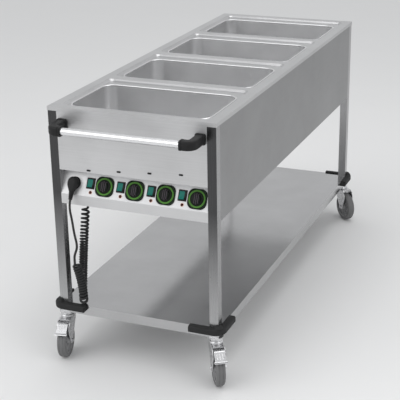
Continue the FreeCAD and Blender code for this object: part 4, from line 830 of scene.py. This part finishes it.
def build_fork(name, place, ahead, axle):
    """A pressed fork: two plates that flank the wheel, the bridge bent over it and the swivel cup."""
    castor = bpy.context.scene.trolley_castor
    inner, thick, under = castor.fork_gap / 2, FORK_PLATE, 0.1425
    bridge_start, bridge_end = -0.024, 0.046
    eye = arc((castor.trail, castor.wheel_radius), 0.0125, 205, 335, 8)
    outline = [(bridge_start, under - 0.001), (-0.0235, 0.132), (-0.015, 0.116), (0.016, 0.072)] + eye
    outline += [(0.0535, 0.072), (0.062, 0.094), (0.0655, 0.112), (0.0635, 0.124), (0.056, 0.135),
                (bridge_end, under - 0.001)]
    shapes = []
    for way in (-1, 1):
        def plate_point(along, a, b):
            return place + ahead * a + Z * b + axle * along

        low, high = sorted((way * inner, way * (inner + thick)))
        shapes.append(bar(outline, low, high, plate_point, 0.0009))
    bend = 0.006
    outside = arc((inner + thick - bend, under + thick - bend), bend, 0, 90, 6)
    inside = arc((inner + thick - bend, under + thick - bend), bend - thick, 90, 0, 6)
    section = outside + [(-a, b) for a, b in reversed(outside)]
    section += [(-a, b) for a, b in reversed(inside)] + inside

    def bridge_point(along, a, b):
        return place + ahead * along + axle * a + Z * b

    rings = [[bridge_point(along, a, b) for a, b in section] for along in (bridge_start, bridge_end)]
    shapes.append(skin(rings))
    cup = ((0.0245, under + thick - 0.001), (0.0245, under + 0.005), (0.0232, under + 0.0078),
           (0.0205, under + 0.0096), (0.0185, under + 0.0100), (0.0062, under + 0.0100))
    shapes.append(turned(cup, place, Z, ahead, 56))
    made = piece(f"fork_{name}", joined(shapes), "zinc", f"castor_{name}", 38)
    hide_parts(f"castor_fork_{name}")


def build_pedal(name, place, ahead, axle):
    """A pressed brake pedal: arms on the pivot, a ribbed tread plate and a wider lip."""
    pivot = Vector((0.034, 0.134))
    arm, edge, lip = 0.0190, 0.0228, 0.0230
    # Distance from the pivot, height above it and half the width there.
    stations = [(0.001, 0.0028, arm), (0.010, 0.0032, arm), (0.022, 0.0035, arm),
                (0.027, 0.0020, arm), (0.030, -0.0005, arm), (0.0535, -0.0215, arm),
                (0.0550, -0.0228, edge), (0.0570, -0.0240, lip), (0.0595, -0.0246, lip),
                (0.0640, -0.0240, lip), (0.0655, -0.0228, edge)]
    thick, cut = 0.0012, 0.0006
    corners = ((cut, 0), (0, cut))
    rings = []
    for step, (along, rise, wide) in enumerate(stations):
        before, after = stations[max(0, step - 1)], stations[min(len(stations) - 1, step + 1)]
        heading = Vector((after[0] - before[0], after[1] - before[1])).normalized()
        out = Vector((-heading.y, heading.x))
        ring = []
        for across, level in ((-1, -1), (1, -1), (1, 1), (-1, 1)):
            for near, far in corners if across * level < 0 else reversed(corners):
                spot = pivot + Vector((along, rise)) + out * level * (thick - far)
                ring.append(place + ahead * spot.x + Z * spot.y + axle * across * (wide - near))
        rings.append(ring)
    shapes = [skin(rings)]
    barrel = [(0.0046, -0.0192), (0.005, -0.0188), (0.005, 0.0188), (0.0046, 0.0192)]
    centre = place + ahead * pivot.x + Z * pivot.y
    shapes.append(turned(barrel, centre, axle, Z, 28))
    shapes.append(turned(((0.0022, -0.0228), (0.0025, -0.0225), (0.0025, 0.0225), (0.0022, 0.0228)),
                         centre, axle, Z, 20))
    slope, tread_middle = Vector((0.0235, -0.0210)).normalized(), Vector((0.0415, -0.0108))
    for shift in (-0.009, 0.0, 0.009):
        def rib_point(a, b, level):
            spot = pivot + tread_middle + slope * b + Vector((-slope.y, slope.x)) * level
            return place + ahead * spot.x + Z * spot.y + axle * (shift + a)

        rib = ((0.0034, 0.022, 0.0016, 0.0008), (0.0030, 0.0216, 0.0014, 0.0017),
               (0.0018, 0.0204, 0.0008, 0.0021))
        shapes.append(layered(rib, rib_point, 4))
    made = piece(f"pedal_{name}", joined(shapes), "zinc", f"pedal_{name}", 38)
    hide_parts(f"brake_pedal_{name}")


# ---------------------------------------------------------------- sheet edges

def build_lips():
    """The pressed slope round each recess of the top, and the rolled lip round each well."""
    plate, rim = 0.918, 0.926
    bay, recess, recess_corner, pitch, front = 0.36875, 0.540, 0.0202, 0.40375, -0.7545
    well_wide, well_long, well_corner, margin = 0.504, 0.296, 0.045, 0.014
    lip_middle, lip_half, lip_rise = 0.0032, 0.0035, 0.0028
    slope = ((0.0, rim - 0.0007), (0.0014, rim - 0.0012), (0.0032, rim - 0.0028),
             (0.0048, rim - 0.0050), (0.0064, rim - 0.0066), (0.0084, rim - 0.0076),
             (0.0104, plate + 0.0001), (0.0, plate - 0.0006))
    for index in GROUPS:
        start = front + (index - 1) * pitch

        def recess_point(a, b, level):
            return Vector((a, start + bay / 2 + b, level))

        shaped = [(recess - 2 * inset, bay - 2 * inset, recess_corner - inset, level) for inset, level in slope]
        ring = layered(shaped + shaped[:1], recess_point, 6, caps=False)
        piece(f"recess_slope_{index}", ring, "top_steel", "trolley", 60)

        def lip_point(a, b, level):
            return Vector((a, start + margin + well_long / 2 + b, level))

        rolled = [(-0.0003, plate - 0.0022), (-0.0003, plate)]
        rolled += [(lip_middle - lip_half * math.cos(angle), plate + lip_rise * math.sin(angle))
                   for angle in (math.pi * step / 10 for step in range(1, 10))] + [(0.0067, plate - 0.0003)]
        shaped = [(well_wide + 2 * out, well_long + 2 * out, well_corner + out, level)
                  for out, level in rolled]
        ring = layered(shaped + shaped[:1], lip_point, 12, caps=False)
        piece(f"well_lip_{index}", ring, "lip_steel", "trolley", 60)


def ease_edges():
    """Small rounded folds on the sheet steel, the tubes and the bumpers."""
    sheet = 0.0008
    folds = {"top_deck": 0.0012, "front_panel": sheet, "rear_panel": sheet, "side_panel_left": sheet,
             "side_panel_right": sheet, "control_console": sheet, "shelf": 0.0014,
             "slot_inserts": 0.0004, "parking_socket": 0.0006, "cord_gland": 0.0008,
             "castor_heads": 0.0008}
    for node, width in folds.items():
        eased(node, width)
    for name, _, _ in CORNERS:
        eased(f"post_{name}", 0.0018, 3)
        eased(f"bumper_{name}", 0.0016, 3)


# ---------------------------------------------------------------- camera and stage

def build_camera():
    """The photograph's view, from its own perspective."""
    frame_width, focal_length = 400, 1085.9  # both in pixels
    place = (1.5139, -3.8304, 1.9222)
    view = Vector((-0.35781, 0.86441, -0.35321))
    right = Vector((0.92604, 0.37713, -0.01515))
    down = Vector((0.12011, -0.33250, -0.93542))
    camera = bpy.data.cameras.new("camera")
    camera.sensor_width = 36.0
    camera.lens = camera.sensor_width * focal_length / frame_width
    camera.shift_x, camera.shift_y = -0.00725, -0.0125
    camera.clip_start, camera.clip_end = 0.1, 60.0
    thing = bpy.data.objects.new("camera", camera)
    heading = Matrix((right, -down, -view)).transposed()
    thing.matrix_world = Matrix.Translation(place) @ heading.to_4x4()
    bpy.context.scene.collection.objects.link(thing)
    bpy.context.scene.camera = thing


# Each lamp's place, what it points at, its size and its power in watts.
LAMPS = (("top_lamp", (0.3, 0.2, 3.4), (0.3, 0.2, 0), (2.0, 3.0), 24),
         ("key_lamp", (-2.8, -3.8, 3.6), (0, 0, 0.5), (5.0, 4.0), 90),
         ("fill_lamp", (3.6, -1.4, 3.0), (0, 0, 0.6), (2.6, 2.2), 30))
SKY_COLOUR, SKY_STRENGTH = (0.98, 0.99, 1.0, 1), 0.72


def lamp(name, place, target, size, power):
    """A rectangular lamp that points at a place."""
    light = bpy.data.lights.new(name, "AREA")
    light.shape = "RECTANGLE"
    light.size, light.size_y = size
    light.energy = power
    thing = bpy.data.objects.new(name, light)
    thing.location = place
    thing.rotation_euler = (Vector(target) - Vector(place)).to_track_quat("-Z", "Y").to_euler()
    bpy.context.scene.collection.objects.link(thing)


def build_stage():
    """The plain floor, the even light from all round, and the lamps."""
    _, _, stage = settings()
    floor = bpy.data.meshes.new("floor")
    half = 14.0
    corners = [(-half, -half, 0), (half, -half, 0), (half, half, 0), (-half, half, 0)]
    floor.from_pydata(corners, [], [(0, 1, 2, 3)])
    thing = bpy.data.objects.new("floor", floor)
    bpy.context.scene.collection.objects.link(thing)
    made, tree, surface = new_material("floor_paint", Roughness=0.9)
    darker = 0.985
    mottled = noise(tree, add(tree, "ShaderNodeTexCoord").outputs["Object"], 3.0)
    tint = add(tree, "ShaderNodeMix", {"data_type": "RGBA"}, {"Factor": mottled},
               {"A": (*(c * darker for c in stage.floor), 1), "B": (*stage.floor, 1)})
    tree.links.new(tint.outputs["Result"], surface.inputs["Base Color"])
    floor.materials.append(made)

    world = bpy.data.worlds.new("studio")
    world.use_nodes = True
    sky = world.node_tree.nodes["Background"].inputs
    sky["Color"].default_value, sky["Strength"].default_value = SKY_COLOUR, SKY_STRENGTH
    bpy.context.scene.world = world
    for name, place, target, size, watts in LAMPS:
        lamp(name, place, target, size, watts * stage.lamps)
    bpy.context.scene.view_settings.view_transform = "Standard"


# ---------------------------------------------------------------- mains cord

# The cord's points in metres, as in the part's source: the lead from the plug's boot down to the
# curls, and the curls' axis from the lead down to the shelf and up to the gland.
LEAD_ROUTE = ((-0.2255, -0.8104, 0.6080), (-0.2255, -0.8216, 0.5861), (-0.206, -0.8395, 0.5438),
              (-0.202, -0.8385, 0.4967), (-0.197, -0.8285, 0.4447), (-0.2182, -0.8183, 0.4055),
              (-0.2182, -0.8183, 0.3809))
CURL_AXIS = ((-0.2185, -0.8065, 0.364), (-0.2045, -0.7995, 0.302), (-0.201, -0.7975, 0.2175),
             (-0.236, -0.7435, 0.2175), (-0.240, -0.7085, 0.412), (-0.236, -0.6775, 0.5705))


def spline_object(name, points):
    """A smooth open curve through the pull of its points."""
    curve = bpy.data.curves.new(name, "CURVE")
    curve.dimensions = "3D"
    line = curve.splines.new("NURBS")
    line.points.add(len(points) - 1)
    for slot, point in zip(line.points, points):
        slot.co = (*point, 1.0)
    line.order_u = 3
    line.use_endpoint_u = True
    line.resolution_u = 24
    thing = bpy.data.objects.new(name, curve)
    bpy.context.scene.collection.objects.link(thing)
    return thing


def line_of(thing):
    """The points that Blender reads along a curve that has no bevel."""
    bpy.context.view_layer.update()
    mesh = bpy.data.meshes.new_from_object(thing)
    points = [vertex.co.copy() for vertex in mesh.vertices]
    bpy.data.meshes.remove(mesh)
    return points


def remove(thing):
    """Take a helper curve out again."""
    curve = thing.data
    bpy.data.objects.remove(thing)
    bpy.data.curves.remove(curve)


def square_to(side, heading):
    """The direction nearest to side that is square to heading."""
    return (side - heading * side.dot(heading)).normalized()


def ease(share):
    """A share from 0 to 1 that starts and ends gently."""
    share = min(1.0, max(0.0, share))
    return share * share * (3 - 2 * share)


def even(points, step):
    """Points at equal steps along a line, with the distance gone at each."""
    gone, result, wanted = 0.0, [(0.0, points[0])], step
    for start, stop in zip(points, points[1:]):
        reach = (stop - start).length
        while wanted <= gone + reach and reach > 0:
            result.append((wanted, start.lerp(stop, (wanted - gone) / reach)))
            wanted += step
        gone += reach
    return result, gone


def axis_samples(step=0.0005):
    """The curls' axis at small steps: distance gone, point, heading, a side that doesn't twist,
    and the least pitch that keeps the turns apart on the inner side of a bend."""
    _, cord, _ = settings()
    axis = spline_object("curl_axis", CURL_AXIS)
    points, total = even(line_of(axis), step)
    remove(axis)
    reach = (cord.curl_outer - cord.diameter) / 2
    side, samples, around = Vector((0.6, -0.8, 0)), [], 12
    clearance, least_share = 0.0009, 0.35
    for place, (gone, point) in enumerate(points):
        before = points[max(0, place - around)][1]
        after = points[min(len(points) - 1, place + around)][1]
        heading = (after - before).normalized()
        side = square_to(side, heading)
        first, second = point - before, after - point
        bend = math.inf
        if min(first.length, second.length) > around * step * 0.5:
            bend = (first.length + second.length) / 2 / max(first.angle(second), 1e-6)
        needed = (cord.diameter + clearance) / max(least_share, 1 - reach / bend)
        samples.append((gone, point, heading, side.copy(), needed))
    return samples, total


def curl_points(per_turn=16):
    """Control points of the curls, from the lead's end up to the gland."""
    _, cord, _ = settings()
    samples, total = axis_samples()
    spline_share = 0.985  # the smooth curve comes this far out towards its control points
    reach = (cord.curl_outer - cord.diameter) / 2 / spline_share
    top_pitch, pulled_length, ease_length, straight_end = 0.0184, 0.175, 0.044, 0.003
    wanted, angle, last, result = math.radians(50), 0.0, 0.0, []
    for place, (gone, point, heading, side, _) in enumerate(samples):
        left = total - gone - cord.diameter
        if left < straight_end:
            break
        pitch = cord.curl_pitch + (top_pitch - cord.curl_pitch) * max(0.0, 1 - left / pulled_length)
        nearby = samples[max(0, place - 16):place + 16:4]
        pitch = max([pitch] + [needed for *_, needed in nearby])
        share = ease(left / ease_length)
        pitch = 3 * top_pitch + (pitch - 3 * top_pitch) * share
        angle += (gone - last) * math.tau / pitch
        last = gone
        if angle >= wanted:
            wanted += math.tau / per_turn
            around = heading.cross(side)
            result.append(point + (side * math.cos(angle) + around * math.sin(angle)) * reach * share)
    return result


def tube(points, radii, sides=10):
    """Rings of a round tube along points, with a frame that doesn't twist."""
    rings, faces = [], []
    heading = (points[1] - points[0]).normalized()
    side = square_to(X if abs(heading.x) < 0.9 else Y, heading)
    for place, point in enumerate(points):
        before, after = points[max(0, place - 1)], points[min(len(points) - 1, place + 1)]
        heading = (after - before).normalized()
        side = square_to(side, heading)
        around = heading.cross(side)
        radius = radii[place] if isinstance(radii, (list, tuple)) else radii
        for step in range(sides):
            angle = math.tau * step / sides
            rings.append(point + (side * math.cos(angle) + around * math.sin(angle)) * radius)
    for place in range(len(points) - 1):
        for step in range(sides):
            low, high = place * sides, (place + 1) * sides
            following = (step + 1) % sides
            faces.append((low + step, low + following, high + following, high + step))
    faces.append(tuple(range(sides)))
    faces.append(tuple(reversed(range((len(points) - 1) * sides, len(points) * sides))))
    return rings, faces


def thinned(points, least):
    """The same line with no two points closer than a least distance."""
    result = [points[0]]
    for point in points[1:-1]:
        if (point - result[-1]).length >= least:
            result.append(point)
    return result + [points[-1]]


def build_cord():
    """The plug, the cord from it to the gland, and the gland's sleeve."""
    _, cord, _ = settings()
    falling, least_step = 0.0082, 0.0009
    lead = [Vector(point) for point in LEAD_ROUTE]
    exit_point = Vector(CURL_AXIS[-1])
    route = lead + [lead[-1] - Z * falling] + curl_points()
    route += [exit_point - Z * cord.diameter, exit_point]
    spline = spline_object("cord_route", [*reversed(route)])
    spline.data.splines[0].resolution_u = 5
    path = thinned(line_of(spline), least_step)
    remove(spline)
    plug = build_plug()
    build_gland(path)
    made = piece("mains_cord", tube(path, cord.diameter / 2), "cord_sheath", "trolley", 80)
    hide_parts("mains_lead", "curly_cord")
    [tuple(point) for point in path]


# ---------------------------------------------------------------- CAD nodes that keep their shape

def dress_nodes():
    """Finish every CAD node; the ones that a piece replaces are hidden later."""
    finishes = {
        "top_deck": "top_steel", "front_panel": "front_steel", "rear_panel": "front_steel",
        "side_panel_left": "painted_shade_side_steel", "side_panel_right": "painted_shade_side_steel", "bottom_pan": "front_steel",
        "control_console": "console_steel", "shelf": "shelf_steel", "well_heaters": "hidden_aluminium",
        "handle_tube": "polished_steel", "handle_bolts": "zinc", "post_inserts": "zinc",
        "castor_heads": "zinc", "slot_inserts": "black_plastic", "parking_socket": "black_plastic",
        "mains_plug": "black_plastic", "cord_gland": "black_plastic", "rocker_frames": "black_plastic",
        "control_foil": "white_foil", "indicator_lamps": "red_lens", "thermostat_dials": "dark_green",
        "thermostat_bodies": "dark_plastic", "handle_elbow_left": "black_plastic",
        "handle_elbow_right": "black_plastic", "mains_lead": "cord_sheath", "curly_cord": "cord_sheath",
    }
    for index in GROUPS:
        finishes[f"well_{index}"] = "well_steel"
        finishes[f"rocker_{index}"] = "green_lens"
        finishes[f"knob_{index}"] = "knob_plastic"
    for name, _, end in CORNERS:
        # The front tubes take the steel with painted reflection and light.
        finishes[f"post_{name}"] = "post_steel" if end < 0 else "rear_post_steel"
        finishes[f"bumper_{name}"] = "black_rubber"
        finishes[f"castor_fork_{name}"] = "zinc"
        finishes[f"castor_axle_{name}"] = "zinc"
        finishes[f"castor_wheel_{name}"] = "tread_rubber"
        if end < 0:
            finishes[f"brake_pedal_{name}"] = "zinc"
    for node, finish in finishes.items():
        dress(node, finish)
    missed = sorted(set(NODES) - set(finishes))
    if missed:
        raise RuntimeError(f"no finish for {missed}")


# ---------------------------------------------------------------- the add-on

class TROLLEY_OT_camera(Operator):
    """Set the camera to the photograph's view"""
    bl_idname = "trolley.camera"
    bl_label = "Camera"

    def execute(self, context):
        build_camera()
        return {"FINISHED"}


class TROLLEY_OT_controls(Operator):
    """Build the switches, lamps, dials and knobs"""
    bl_idname = "trolley.controls"
    bl_label = "Controls"

    def execute(self, context):
        build_dials()
        build_knobs()
        build_rockers()
        build_lamps()
        return {"FINISHED"}


class TROLLEY_OT_handle(Operator):
    """Build the push handle and its elbows"""
    bl_idname = "trolley.handle"
    bl_label = "Handle"

    def execute(self, context):
        build_handle()
        return {"FINISHED"}


class TROLLEY_OT_castors(Operator):
    """Build the wheels, axles, forks and brake pedals of the castors"""
    bl_idname = "trolley.castors"
    bl_label = "Castors"

    def execute(self, context):
        build_castors()
        return {"FINISHED"}


class TROLLEY_OT_edges(Operator):
    """Round the folds of the sheet steel and the tubes, and add the top's slopes and lips"""
    bl_idname = "trolley.edges"
    bl_label = "Edges"

    def execute(self, context):
        ease_edges()
        build_lips()
        return {"FINISHED"}


class TROLLEY_OT_cord(Operator):
    """Build the plug, the mains cord with its curls, and the gland's sleeve"""
    bl_idname = "trolley.cord"
    bl_label = "Mains cord"

    def execute(self, context):
        build_cord()
        return {"FINISHED"}


class TROLLEY_OT_finishes(Operator):
    """Give every CAD part its finish"""
    bl_idname = "trolley.finishes"
    bl_label = "Finishes"

    def execute(self, context):
        dress_nodes()
        return {"FINISHED"}


class TROLLEY_OT_stage(Operator):
    """Build the floor, the world and the lamps"""
    bl_idname = "trolley.stage"
    bl_label = "Stage"

    def execute(self, context):
        build_stage()
        return {"FINISHED"}


OPERATORS = (TROLLEY_OT_camera, TROLLEY_OT_finishes, TROLLEY_OT_edges, TROLLEY_OT_controls,
             TROLLEY_OT_handle, TROLLEY_OT_castors, TROLLEY_OT_cord, TROLLEY_OT_stage)


class TROLLEY_PT_build(Panel):
    """Lists the trolley's sizes, colours and steps"""
    bl_idname = "TROLLEY_PT_build"
    bl_label = "Serving Trolley"
    bl_space_type = "VIEW_3D"
    bl_region_type = "UI"
    bl_category = "Trolley"

    def draw(self, context):
        for place in GROUP_CLASSES:
            group = getattr(context.scene, place)
            box = self.layout.box()
            for name in group.__annotations__:
                box.prop(group, name)
        for operator in OPERATORS:
            self.layout.operator(operator.bl_idname)


GROUP_CLASSES = {"trolley_steel": TrolleySteel, "trolley_controls": TrolleyControls,
                 "trolley_handle": TrolleyHandle, "trolley_castor": TrolleyCastor,
                 "trolley_cord": TrolleyCord, "trolley_stage": TrolleyStage}


def register():
    """Add the classes, and the sizes and colours to the scene."""
    for kind in (*GROUP_CLASSES.values(), *OPERATORS, TROLLEY_PT_build):
        bpy.utils.register_class(kind)
    for name, kind in GROUP_CLASSES.items():
        setattr(bpy.types.Scene, name, bpy.props.PointerProperty(type=kind))


def unregister():
    """Take the sizes, the colours and the classes out again."""
    for name in GROUP_CLASSES:
        delattr(bpy.types.Scene, name)
    for kind in (TROLLEY_PT_build, *reversed(OPERATORS), *GROUP_CLASSES.values()):
        bpy.utils.unregister_class(kind)


def main():
    """Build the trolley and its stage."""
    register()
    for operator in OPERATORS:
        category, name = operator.bl_idname.split(".")
        getattr(getattr(bpy.ops, category), name)()


if __name__ == "__main__":
    main()
